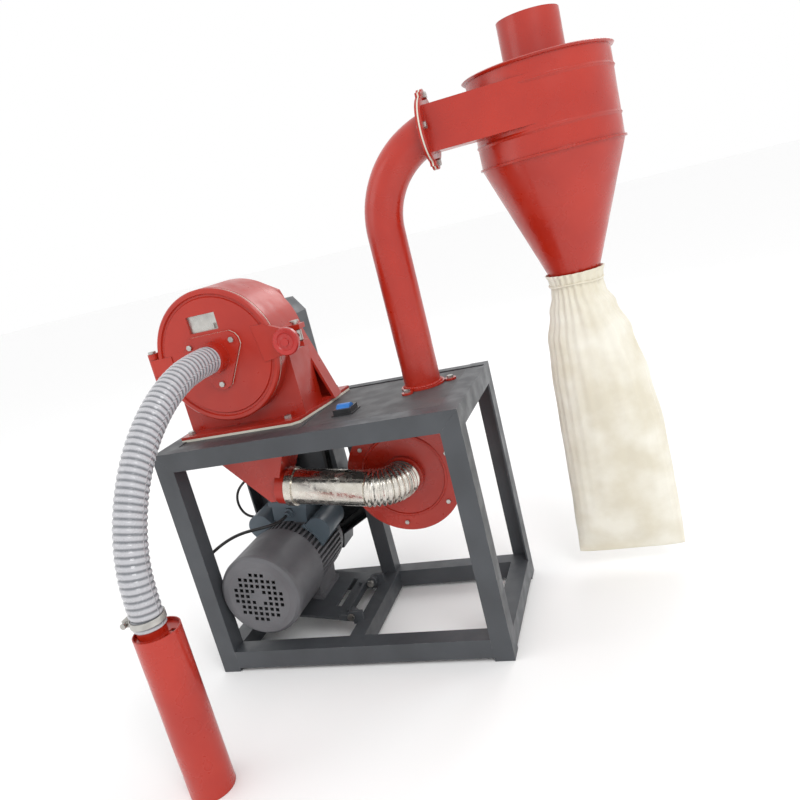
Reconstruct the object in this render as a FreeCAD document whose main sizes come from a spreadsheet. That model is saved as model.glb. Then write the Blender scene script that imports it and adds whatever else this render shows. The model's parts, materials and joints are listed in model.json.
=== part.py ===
"""Self-suction hammer mill: a round-door mill on a steel frame, a belt-driven fan under the
table, a discharge pipe up to a cyclone with a collecting bag, and a suction hose with a
floor nozzle.

Lengths are millimetres, +Z is up, +Y points to the back (the belt side).  Places are given
from the frame's front left foot; shift_x and shift_y move that corner so that the origin
stands under the middle of the machine.
"""
import FreeCAD, Part
import math
import os
import Sketcher
from FreeCAD import Placement, Rotation, Vector

doc = FreeCAD.newDocument("HammerMill")
sheet = doc.addObject("Spreadsheet::Sheet", "Dims")


# ---------------------------------------------------------------- sizes with a formula
class Size:
    """A length that carries its formula on the sheet and its present value."""

    def __init__(self, formula, value):
        self.formula = formula
        self.value = float(value)

    def __add__(self, other):
        other = size(other)
        return Size(f"({self.formula} + {other.formula})", self.value + other.value)

    def __sub__(self, other):
        other = size(other)
        return Size(f"({self.formula} - {other.formula})", self.value - other.value)

    def __mul__(self, other):
        other = size(other)
        return Size(f"({self.formula} * {other.formula})", self.value * other.value)

    def __truediv__(self, other):
        other = size(other)
        return Size(f"({self.formula} / {other.formula})", self.value / other.value)

    def __radd__(self, other):
        return size(other) + self

    def __rsub__(self, other):
        return size(other) - self

    def __rmul__(self, other):
        return size(other) * self

    def __neg__(self):
        return size(0) - self


def size(number):
    """A Size stays as it is; a plain number becomes one."""
    if isinstance(number, Size):
        return number
    return Size(f"({number:.6g})", number)


ROWS = []


def cell(alias, number):
    """Write one driving dimension to the sheet and return it as a Size."""
    ROWS.append(alias)
    row = len(ROWS)
    sheet.set(f"A{row}", alias)
    sheet.set(f"B{row}", str(number))
    sheet.setAlias(f"B{row}", alias)
    return Size(f"Dims.{alias}", number)


# the frame
shift_x = cell("shift_x", -504)
shift_y = cell("shift_y", -237)
frame_w = cell("frame_w", 650)
frame_d = cell("frame_d", 340)
frame_h = cell("frame_h", 513)
leg = cell("leg_side", 40)
wall = cell("tube_wall", 2.5)
rail_low = cell("rail_gap", 8)
angle_t = cell("angle_thickness", 4)
rear_rail = cell("rear_rail_depth", 24)
cross_x = cell("cross_rail_left", 300)
cross_w = cell("cross_rail_width", 34)
plate_t = cell("table_thickness", 4)
plate_inset = cell("table_inset", 1.5)
plate_gap = cell("table_gap", 6)
# the mill
mill_x = cell("mill_axis_x", 172)
mill_z = cell("mill_axis_z", 678)
drum_r = cell("drum_radius", 136)
drum_y = cell("drum_front", 84)
drum_depth = cell("drum_depth", 121)
sheet_t = cell("casing_wall", 4)
gasket_t = cell("gasket_thickness", 5)
flange_t = cell("flange_thickness", 6)
hood_depth = cell("hood_depth", 38)
door_t = cell("door_thickness", 14)
screen_t = cell("screen_thickness", 2)
pin_circle = cell("hammer_pin_circle", 58)
pin_r = cell("hammer_pin_radius", 6)
shaft_r = cell("mill_shaft_radius", 15)
fit = cell("running_fit", 0.05)
# motor and drive
hinge_x = cell("plate_hinge_x", 288)
hinge_z = cell("plate_hinge_z", 60)
tilt = cell("plate_tilt", 9)
motor_x = cell("motor_axis_x", 118)
motor_z = cell("motor_axis_z", 142.4)
motor_r = cell("motor_body_radius", 86)
motor_front = cell("motor_front", 14)
cover_r = cell("fan_cover_radius", 92)
motor_shaft_r = cell("motor_shaft_radius", 14)
belt_y = cell("first_belt_y", 358)
belt_pitch = cell("belt_pitch", 15)
belt_t = cell("belt_height", 8)
motor_sheave = cell("motor_sheave_radius", 52)
mill_sheave = cell("mill_sheave_radius", 44)
fan_drive = cell("fan_drive_radius", 40)
fan_sheave = cell("fan_sheave_radius", 32)
# fan and pipes
fan_x = cell("fan_axis_x", 457)
fan_z = cell("fan_axis_z", 337)
fan_y = cell("fan_front", 178)
fan_depth = cell("fan_depth", 88)
fan_r = cell("fan_casing_radius", 126)
pipe_x = cell("pipe_x", 531)
pipe_y = cell("pipe_y", 224)
pipe_r = cell("pipe_radius", 38)
pipe_t = cell("pipe_wall", 2)
bend_z = cell("bend_start_z", 828)
bend_r = cell("bend_radius", 165)
tube_r = cell("suction_tube_radius", 37.5)
# the cyclone and its bag
cyc_x = cell("cyclone_x", 864)
cyc_y = cell("cyclone_y", 330)
barrel_r = cell("barrel_radius", 137)
barrel_z = cell("barrel_bottom_z", 898)
barrel_top = cell("barrel_top_z", 1064)
cone_r = cell("cone_outlet_radius", 47)
cone_z = cell("cone_bottom_z", 640)
skin = cell("cyclone_wall", 2)
outlet_r = cell("air_outlet_radius", 59)
outlet_top = cell("air_outlet_top", 1149)
duct_h = cell("duct_height", 84)
duct_w = cell("duct_width", 62)
bag_low = cell("bag_bottom_z", 46)
# hose and nozzle
spigot_r = cell("spigot_radius", 24.5)
hose_r = cell("hose_radius", 28)
nozzle_x = cell("nozzle_x", 158)
nozzle_y = cell("nozzle_y", -318.5)
nozzle_h = cell("nozzle_height", 312)
nozzle_r = cell("nozzle_radius", 40)
nozzle_pipe = cell("nozzle_pipe_radius", 24.5)
doc.recompute()

AXES = {
    "X": Rotation(Vector(0, 1, 0), 90),
    "Y": Rotation(Vector(1, 0, 0), -90),
    "Z": Rotation(),
    "-X": Rotation(Vector(0, 1, 0), -90),
    "-Y": Rotation(Vector(1, 0, 0), 90),
}
NODES = []


# ---------------------------------------------------------------- building blocks
def bind(obj, prop, number):
    """Bind one property to its sheet formula."""
    obj.setExpression(prop, size(number).formula)


def place(obj, at, rotation=None):
    """Put an object at a place measured from the frame's front left foot."""
    x = size(at[0]) + shift_x
    y = size(at[1]) + shift_y
    z = size(at[2])
    obj.Placement = Placement(Vector(x.value, y.value, z.value), rotation or Rotation())
    bind(obj, "Placement.Base.x", x)
    bind(obj, "Placement.Base.y", y)
    bind(obj, "Placement.Base.z", z)
    return obj


def unique(kind, name):
    """Add a document object of a kind under a free name."""
    return doc.addObject(kind, name)


def box(name, low, high):
    """A block between two corners."""
    block = unique("Part::Box", name)
    bind(block, "Length", size(high[0]) - low[0])
    bind(block, "Width", size(high[1]) - low[1])
    bind(block, "Height", size(high[2]) - low[2])
    return place(block, low)


def rod(name, radius, length, at, axis="Z"):
    """A cylinder from a point along an axis."""
    bar = unique("Part::Cylinder", name)
    bind(bar, "Radius", radius)
    bind(bar, "Height", length)
    return place(bar, at, AXES[axis])


def ring(name, big_r, small_r, at, axis="Z"):
    """A full torus."""
    torus = unique("Part::Torus", name)
    bind(torus, "Radius1", big_r)
    bind(torus, "Radius2", small_r)
    return place(torus, at, AXES[axis])


def bend(name, big_r, small_r, sweep, at, rotation):
    """A part of a torus: its centre, and the turn that lays its plane."""
    torus = unique("Part::Torus", name)
    bind(torus, "Radius1", big_r)
    bind(torus, "Radius2", small_r)
    torus.Angle3 = sweep
    return place(torus, at, rotation)


def fuse(name, *parts):
    """One solid from several that overlap or touch."""
    union = unique("Part::MultiFuse", name)
    union.Shapes = list(parts)
    return union


def group(name, *parts):
    """Separate solids kept together in one node."""
    bundle = unique("Part::Compound", name)
    bundle.Links = list(parts)
    return bundle


def cut(name, base, *tools):
    """A solid with others taken out of it."""
    tool = tools[0]
    if len(tools) > 1:
        tool = fuse(name + "_tools", *tools)
    remainder = unique("Part::Cut", name)
    remainder.Base = base
    remainder.Tool = tool
    return remainder


def common(name, first, second):
    """The volume that two solids share."""
    shared = unique("Part::Common", name)
    shared.Base = first
    shared.Tool = second
    return shared


def tube(name, outer, inner, length, at, axis="Z"):
    """A pipe from a point along an axis."""
    sleeve = rod(name + "_outer", outer, length, at, axis)
    bore = rod(name + "_bore", inner, length, at, axis)
    return cut(name, sleeve, bore)


def bar(name, low, high):
    """A square steel tube as a hollow block, open along its longest side."""
    span = [size(high[i]).value - size(low[i]).value for i in range(3)]
    along = span.index(max(span))
    inner_low = [size(low[i]) + (0 if i == along else wall) for i in range(3)]
    inner_high = [size(high[i]) - (0 if i == along else wall) for i in range(3)]
    return cut(name, box(name + "_skin", low, high), box(name + "_void", inner_low, inner_high))


def origin_plane(body, role):
    """One of a body's own base planes."""
    for feature in body.Origin.OriginFeatures:
        if feature.Role == role:
            return feature
    raise ValueError(role)


def outline(sketch, points, closed=True):
    """Straight lines through points, each fixed by its two distances from the origin."""
    values = [Vector(size(u).value, size(v).value, 0) for u, v in points]
    count = len(values)
    for i in range(count):
        sketch.addGeometry(Part.LineSegment(values[i], values[(i + 1) % count]), False)
    for i in range(count):
        sketch.addConstraint(Sketcher.Constraint("Coincident", i, 2, (i + 1) % count, 1))
    for i, (u, v) in enumerate(points):
        for kind, number in (("DistanceX", u), ("DistanceY", v)):
            index = sketch.addConstraint(
                Sketcher.Constraint(kind, -1, 1, i, 1, size(number).value))
            bind(sketch, f"Constraints[{index}]", number)


def hole(sketch, centre, radius):
    """A circle fixed by its centre's distances and its radius."""
    u, v = size(centre[0]), size(centre[1])
    middle = Vector(u.value, v.value, 0)
    circle = sketch.addGeometry(Part.Circle(middle, Vector(0, 0, 1), size(radius).value), False)
    for kind, number in (("DistanceX", u), ("DistanceY", v)):
        index = sketch.addConstraint(Sketcher.Constraint(kind, -1, 1, circle, 3, number.value))
        bind(sketch, f"Constraints[{index}]", number)
    index = sketch.addConstraint(Sketcher.Constraint("Radius", circle, size(radius).value))
    bind(sketch, f"Constraints[{index}]", radius)


def new_sketch(body, name, role):
    """A sketch on one of the body's base planes."""
    sketch = body.newObject("Sketcher::SketchObject", name)
    sketch.AttachmentSupport = [(origin_plane(body, role), "")]
    sketch.MapMode = "FlatFace"
    return sketch


def turned(name, points, at, axis="Z"):
    """A turned piece: (radius, height) points swept round the axis."""
    body = unique("PartDesign::Body", name)
    sketch = new_sketch(body, name + "_profile", "XZ_Plane")
    outline(sketch, points)
    turn = body.newObject("PartDesign::Revolution", name + "_turn")
    turn.Profile = sketch
    turn.ReferenceAxis = (sketch, ["V_Axis"])
    turn.Angle = 360
    sketch.Visibility = False
    return place(body, at, AXES[axis])


def plate(name, points, thickness, at, holes=(), upright=False):
    """A flat plate: (x, y) points, or (x, z) when upright, with round holes."""
    body = unique("PartDesign::Body", name)
    sketch = new_sketch(body, name + "_outline", "XY_Plane")
    outline(sketch, points)
    for centre, radius in holes:
        hole(sketch, centre, radius)
    pad = body.newObject("PartDesign::Pad", name + "_pad")
    pad.Profile = sketch
    bind(pad, "Length", thickness)
    pad.Reversed = upright
    rotation = Rotation(Vector(1, 0, 0), 90) if upright else Rotation()
    return place(body, at, rotation)


def node(name, obj):
    """Mark an object as a finished sub-part."""
    obj.Label = name
    NODES.append(obj)
    return obj


def tilted(obj):
    """Lean a motor piece with the plate, about the plate's hinge."""
    centre = Vector((hinge_x + shift_x).value, 0, hinge_z.value)
    lean = Placement(Vector(0, 0, 0), Rotation(Vector(0, 1, 0), tilt.value), centre)
    obj.Label = obj.Name + "_upright"
    wrapper = unique("Part::Compound", obj.Name + "_leaned")
    wrapper.Links = [obj]
    wrapper.Placement = lean
    return wrapper


def spun(name, part, x, z, degrees):
    """A piece turned about a front-to-back axis through x, z."""
    centre = Vector((x + shift_x).value, 0, size(z).value)
    wrapper = unique("Part::Compound", name)
    wrapper.Links = [part]
    wrapper.Placement = Placement(Vector(), Rotation(Vector(0, 1, 0), degrees), centre)
    return wrapper


def bolt(name, at, axis, head_r=7, head_t=5, shank_r=4, shank=12):
    """A hexagon bolt: the head stands on a face, the shank runs back into it."""
    head = unique("Part::Prism", name + "_head")
    head.Polygon = 6
    bind(head, "Circumradius", head_r)
    bind(head, "Height", head_t)
    place(head, at, AXES[axis])
    back = {"X": "-X", "-X": "X", "Y": "-Y", "-Y": "Y"}.get(axis)
    if back is None:
        low = (at[0], at[1], size(at[2]) - shank)
        stem = rod(name + "_shank", shank_r, shank, low, "Z")
    else:
        stem = rod(name + "_shank", shank_r, shank, at, back)
    return fuse(name, head, stem)


def around(centre_x, centre_z, radius, degrees):
    """A point on a circle in the front plane, as two Sizes."""
    turn = math.radians(degrees)
    return centre_x + radius * math.cos(turn), centre_z + radius * math.sin(turn)


# ---------------------------------------------------------------- frame
def build_frame():
    rail_top = rail_low + leg
    top_low = frame_h - leg
    back = frame_d - leg
    right = frame_w - leg
    legs = []
    for side, outer, inner in (("left", size(0), leg), ("right", frame_w, right)):
        points = [(outer, 0), (inner, 0), (inner, top_low), (outer, frame_h)]
        if side == "right":
            points = [points[1], points[0], points[3], points[2]]
        solid = plate(f"front_{side}_leg", points, leg, (0, 0, 0), upright=True)
        low_x = (size(0) if side == "left" else right) + wall
        void = box(f"front_{side}_leg_void", (low_x, wall, 0),
                   (low_x + leg - wall * 2, leg - wall, top_low - wall))
        legs.append(cut(f"front_{side}_leg_tube", solid, void))
        edge = size(0) if side == "left" else frame_w - angle_t
        flange = size(0) if side == "left" else right
        side_web = box(f"rear_{side}_web", (edge, back, 0), (edge + angle_t, frame_d, frame_h))
        back_web = box(f"rear_{side}_back", (flange, frame_d - angle_t, 0),
                       (flange + leg, frame_d, frame_h))
        legs.append(fuse(f"rear_{side}_leg", side_web, back_web))
    post_x = cross_x - 9
    legs.append(bar("rear_post", (post_x, back, rail_top),
                    (post_x + 36, frame_d - angle_t, top_low)))
    node("frame_legs", group("frame_legs", *legs))

    front = plate("front_top_rail", [(0, frame_h), (leg, top_low), (right, top_low),
                                     (frame_w, frame_h)], leg, (0, 0, 0), upright=True)
    front_void = box("front_top_void", (leg, wall, top_low + wall),
                     (right, leg - wall, frame_h - wall))
    top = [cut("front_top_tube", front, front_void)]
    top.append(bar("left_top_rail", (0, leg, top_low), (leg, back, frame_h)))
    top.append(bar("right_top_rail", (right, leg, top_low), (frame_w, back, frame_h)))
    rear_y = frame_d - angle_t
    top.append(bar("rear_top_rail", (angle_t, rear_y - rear_rail, top_low),
                   (frame_w - angle_t, rear_y, frame_h)))
    node("top_frame", group("top_frame", *top))

    low = [bar("front_low_rail", (leg, 0, rail_low), (right, leg, rail_top))]
    low.append(bar("rear_low_rail", (angle_t, back, rail_low),
                   (frame_w - angle_t, rear_y, rail_top)))
    low.append(bar("left_low_rail", (0, leg, rail_low), (leg, back, rail_top)))
    low.append(bar("right_low_rail", (right, leg, rail_low), (frame_w, back, rail_top)))
    cross = bar("cross_rail", (cross_x, leg, rail_low), (cross_x + cross_w, back, rail_top))
    ears = []
    for y in EAR_Y:
        ears.append(ear(f"cross_ear_{y}", y, rail_top))
    low.append(fuse("cross_rail_with_ears", cross, *ears))
    node("bottom_rails", group("bottom_rails", *low))


EAR_T = 6
EAR_Y = (96, 250)
EYE_R = 11
PIVOT_R = 5


def ear(name, y, rail_top):
    """A welded ear that holds the motor plate's hinge bolt."""
    web = box(name + "_web", (hinge_x, y, rail_top - 8), (cross_x, size(y) + EAR_T, hinge_z + EYE_R))
    foot = box(name + "_foot", (cross_x, y, rail_top), (cross_x + 14, size(y) + EAR_T, hinge_z + EYE_R))
    eye = rod(name + "_eye", EYE_R, EAR_T, (hinge_x, y, hinge_z), "Y")
    bore = rod(name + "_bore", PIVOT_R + fit, EAR_T, (hinge_x, y, hinge_z), "Y")
    return cut(name, fuse(name + "_blank", web, foot, eye), bore)


# the table's split runs from front to back, wider at the back
SPLIT_FRONT = 322
SPLIT_BACK = 331
HOPPER_X = (50, 270)
HOPPER_Y = (80, 198)


def build_table():
    top = frame_h - plate_inset
    low = top - plate_t
    front = leg + plate_gap
    back = frame_d - angle_t - rear_rail - plate_gap
    left = [(leg, front), (SPLIT_FRONT - plate_gap, front), (SPLIT_BACK - plate_gap, back),
            (leg, back)]
    right = [(SPLIT_FRONT, front), (frame_w - leg, front), (frame_w - leg, back),
             (SPLIT_BACK, back)]
    bed = plate("mill_bed", left, plate_t, (0, 0, low))
    opening = box("hopper_opening", (HOPPER_X[0], HOPPER_Y[0], low - 1),
                  (HOPPER_X[1], HOPPER_Y[1], top + 1))
    bed_bores = [rod(f"bed_bore_{i}", BASE_BOLT_R + 0.5, plate_t + 2, (x, y, low - 1))
                 for i, (x, y) in enumerate(BASE_BOLTS)]
    bed_cut = cut("mill_bed_plate", bed, opening, *bed_bores)
    bores = [((pipe_x, pipe_y), pipe_r)]
    bores += [((x, y), BASE_BOLT_R + 0.5) for x, y in pipe_bolts()]
    table = plate("fan_table", right, plate_t, (0, 0, low), bores)
    node("table_plates", group("table_plates", bed_cut, table))


BASE_BOLTS = ((46, 92), (275, 95), (306, 288), (46, 288))
BASE_BOLT_R = 4
PIPE_BOLT_ANGLES = (10, 130, 250)


def pipe_bolts():
    """Centres of the three bolts that hold the pipe's foot flange."""
    reach = pipe_r + 20
    for degrees in PIPE_BOLT_ANGLES:
        turn = math.radians(degrees)
        yield pipe_x + reach * math.cos(turn), pipe_y + reach * math.sin(turn)


# ---------------------------------------------------------------- mill
BASE_OUTLINE = [(30, 72), (290, 72), (306, 84), (326, 200), (334, 300), (30, 300)]


def base_top():
    return frame_h - plate_inset + gasket_t


def build_casing():
    foot = base_top()
    roof = foot + flange_t
    gasket = plate("foot_gasket", BASE_OUTLINE, gasket_t, (0, 0, frame_h - plate_inset))
    gasket_hole = box("foot_gasket_hole", (HOPPER_X[0], HOPPER_Y[0], foot - gasket_t - 1),
                      (HOPPER_X[1], HOPPER_Y[1], foot + 1))
    bores = [rod(f"gasket_bore_{i}", BASE_BOLT_R + 0.5, gasket_t + 2, (x, y, foot - gasket_t - 1))
             for i, (x, y) in enumerate(BASE_BOLTS)]
    front_step = box("gasket_front_step", (-20, -20, frame_h - 20), (frame_w, leg, frame_h))
    left_step = box("gasket_left_step", (-20, -20, frame_h - 20), (leg, frame_d, frame_h))
    mill_gasket = cut("mill_foot_gasket", gasket, gasket_hole, front_step, left_step, *bores)

    flange = plate("casing_flange", BASE_OUTLINE, flange_t, (0, 0, foot))
    drum = rod("drum", drum_r, drum_depth, (mill_x, drum_y, mill_z), "Y")
    box_y = drum_y + 28
    drum_back = drum_y + drum_depth
    skirt = box("skirt", (mill_x - drum_r, box_y, foot + 1), (mill_x + drum_r, drum_back, mill_z))
    hood_points = [(36, roof - 2), (338, roof - 2), (262, 768), (215, 797), (172, 804), (129, 797),
                   (82, 768), (36, 678)]
    hood = plate("hood", hood_points, hood_depth, (0, drum_back, 0), upright=True)
    outer = fuse("casing_outer", flange, drum, skirt, hood)

    chamber = rod("chamber", drum_r - sheet_t, drum_depth - sheet_t + 1,
                  (mill_x, drum_y - 1, mill_z), "Y")
    inner_r = drum_r - sheet_t
    throat = box("throat", (mill_x - inner_r, box_y + sheet_t, roof),
                 (mill_x + inner_r, drum_back - sheet_t, mill_z))
    outlet = box("outlet", (HOPPER_X[0], box_y + sheet_t, foot - 1),
                 (HOPPER_X[1], HOPPER_Y[1], roof + 1))
    hood_inner = [(42, roof + 4), (330, roof + 4), (258, 764), (213, 791), (172, 798), (131, 791),
                  (86, 764), (42, 680)]
    hood_void = plate("hood_void", hood_inner, hood_depth - sheet_t, (0, drum_back, 0), upright=True)
    shaft_bore = rod("casing_shaft_bore", shaft_r + 3, 80, (mill_x, drum_back - 20, mill_z), "Y")
    base_bores = [rod(f"flange_bore_{i}", BASE_BOLT_R + 0.5, 40, (x, y, foot - 5))
                  for i, (x, y) in enumerate(BASE_BOLTS)]
    shell = cut("casing_shell", outer, chamber, throat, outlet, hood_void, shaft_bore, *base_bores)
    node("mill_casing", shell)
    ears = [cut(ear.Label + "_trimmed", ear, outer) for ear in casing_ears()]
    node("casing_ears", group("casing_ears", *ears))
    return mill_gasket


LATCH_OUT = 168
LATCH_Z = 4
HINGE_OUT = 150
HINGE_PIN_R = 5
HINGE_Y = 80
KNUCKLE_R = 10


def casing_ears():
    """Two knuckles for the hinge pin on the left, two for the latch nut on the right."""
    pieces = []
    pin_x = mill_x - HINGE_OUT
    for name, low in (("low", -30), ("high", 18)):
        z = mill_z + low
        arm = box(f"hinge_arm_{name}", (pin_x, HINGE_Y + 6, z), (mill_x - drum_r + 4, HINGE_Y + 16, z + 12))
        knuckle = rod(f"hinge_knuckle_{name}", KNUCKLE_R, 12, (pin_x, HINGE_Y, z))
        bore = rod(f"hinge_bore_{name}", HINGE_PIN_R, 12, (pin_x, HINGE_Y, z))
        pieces.append(cut(f"hinge_ear_{name}", fuse(f"hinge_ear_{name}_blank", arm, knuckle), bore))
    for name, low in (("low", -22), ("high", 12)):
        z = mill_z + LATCH_Z + low
        web = box(f"latch_web_{name}", (mill_x + drum_r - 4, LATCH_Y, z),
                  (mill_x + LATCH_OUT + 14, size(LATCH_Y) + 26, z + 10))
        eye_at = (mill_x + LATCH_OUT, LATCH_Y + 13, z)
        bore = rod(f"latch_bore_{name}", 6 + fit, 10, eye_at)
        pieces.append(cut(f"latch_ear_{name}", web, bore))
    return pieces


LATCH_Y = 96


def build_mill_inside():
    """The half-round screen, the shaft's housing and all four bearings."""
    chamber_r = drum_r - sheet_t
    y = drum_y + 34
    depth = drum_depth - sheet_t - 35
    hoop = tube("screen_hoop", chamber_r - 0.1, chamber_r - 0.1 - screen_t, depth, (mill_x, y, mill_z), "Y")
    lower = box("screen_half", (mill_x - drum_r, y, mill_z - drum_r), (mill_x + drum_r, y + depth, mill_z - 2))
    slots = []
    rim = mill_z + drum_r
    for degrees in range(110, 251, 10):
        slot = box(f"screen_slot_{degrees}", (mill_x - 2, size(y) + 8, rim - 16),
                   (mill_x + 2, size(y) + depth - 8, rim + 2))
        slots.append(spun(f"screen_slot_{degrees}_turned", slot, mill_x, mill_z, degrees))
    node("ring_screen", cut("ring_screen", common("screen_sheet", hoop, lower), *slots))

    back = drum_y + drum_depth + hood_depth
    housing = turned("shaft_housing", [
        (36, 0), (62, 0), (62, 7), (42, 7), (42, 88), (31, 88), (31, 62), (26, 62), (26, 26),
        (36, 26)], (mill_x, back, mill_z), "Y")
    seats = [("mill_front", mill_x, mill_z, back + 6, 35.9, shaft_r),
             ("mill_rear", mill_x, mill_z, back + 64, 30.9, shaft_r),
             ("fan_front", fan_x, fan_z, fan_y + fan_depth + 12, 25.9, FAN_SHAFT_R),
             ("fan_rear", fan_x, fan_z, fan_y + fan_depth + 46, 25.9, FAN_SHAFT_R)]
    rings = []
    for name, x, z, y, outer, bore in seats:
        rings.append(tube(f"bearing_{name}", outer, bore + fit, 18, (x, y, z), "Y"))
    node("shaft_bearings", group("shaft_bearings", *rings))
    return housing


FAN_SHAFT_R = 10


def build_rotor():
    """The mill's shaft, discs, pins and four rows of hanging hammers."""
    front = drum_y + 30
    disc_y = (drum_y + 40, drum_y + 102)
    node("rotor_shaft", turned("rotor_shaft", [
        (0, 0), (12, 0), (12, 12), (shaft_r, 12), (shaft_r, 284), (0, 284)],
        (mill_x, front, mill_z), "Y"))
    nut = rod("rotor_nut", 18, 11, (mill_x, drum_y + 29, mill_z), "Y")
    discs = []
    for i, y in enumerate(disc_y):
        disc = rod(f"rotor_disc_{i}", 72, 6, (mill_x, y, mill_z), "Y")
        bores = [rod(f"rotor_disc_{i}_bore", shaft_r + fit, 6, (mill_x, y, mill_z), "Y")]
        for degrees in PIN_ANGLES:
            x, z = around(mill_x, mill_z, pin_circle, degrees)
            bores.append(rod(f"rotor_disc_{i}_pin_{degrees}", pin_r + fit, 6, (x, y, z), "Y"))
        discs.append(cut(f"rotor_disc_{i}_cut", disc, *bores))
    discs.append(tube("rotor_spacer", 20, shaft_r + fit, disc_y[1] - disc_y[0] - 6,
                      (mill_x, disc_y[0] + 6, mill_z), "Y"))
    nut_bore = rod("rotor_nut_bore", 12 + fit, 11, (mill_x, drum_y + 29, mill_z), "Y")
    discs.append(cut("rotor_nut_cut", nut, nut_bore))
    node("rotor_discs", group("rotor_discs", *discs))
    pins = []
    for degrees in PIN_ANGLES:
        x, z = around(mill_x, mill_z, pin_circle, degrees)
        stem = rod(f"pin_{degrees}", pin_r, 72, (x, disc_y[0] - 2, z), "Y")
        head = rod(f"pin_head_{degrees}", pin_r + 3, 3, (x, disc_y[0] - 3, z), "Y")
        pins.append(fuse(f"pin_headed_{degrees}", stem, head))
    node("hammer_pins", group("hammer_pins", *pins))
    for letter, degrees in zip("abcd", PIN_ANGLES):
        build_hammer_row(letter, degrees, disc_y[0] + 6)


PIN_ANGLES = (45, 135, 225, 315)
HAMMER = {"width": 28, "length": 58, "thickness": 6, "pitch": 17}


def build_hammer_row(letter, degrees, y):
    """Three flat hammers that hang side by side on one pin, with washers between."""
    x, z = around(mill_x, mill_z, pin_circle, degrees)
    half = HAMMER["width"] / 2
    row = []
    for i in range(3):
        start = y + 6 + HAMMER["pitch"] * i
        blade = box(f"hammer_{letter}_{i}_blade", (x - half, start, z - HAMMER["length"]),
                    (x + half, start + HAMMER["thickness"], z))
        eye = rod(f"hammer_{letter}_{i}_eye", half, HAMMER["thickness"], (x, start, z), "Y")
        bore = rod(f"hammer_{letter}_{i}_bore", pin_r + fit, HAMMER["thickness"], (x, start, z), "Y")
        row.append(cut(f"hammer_{letter}_{i}", fuse(f"hammer_{letter}_{i}_solid", blade, eye), bore))
    node(f"hammer_row_{letter}", group(f"hammer_row_{letter}", *row))


# ---------------------------------------------------------------- door
WINDOW = {"x": -10, "z": 70, "w": 66, "h": 34}


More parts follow.
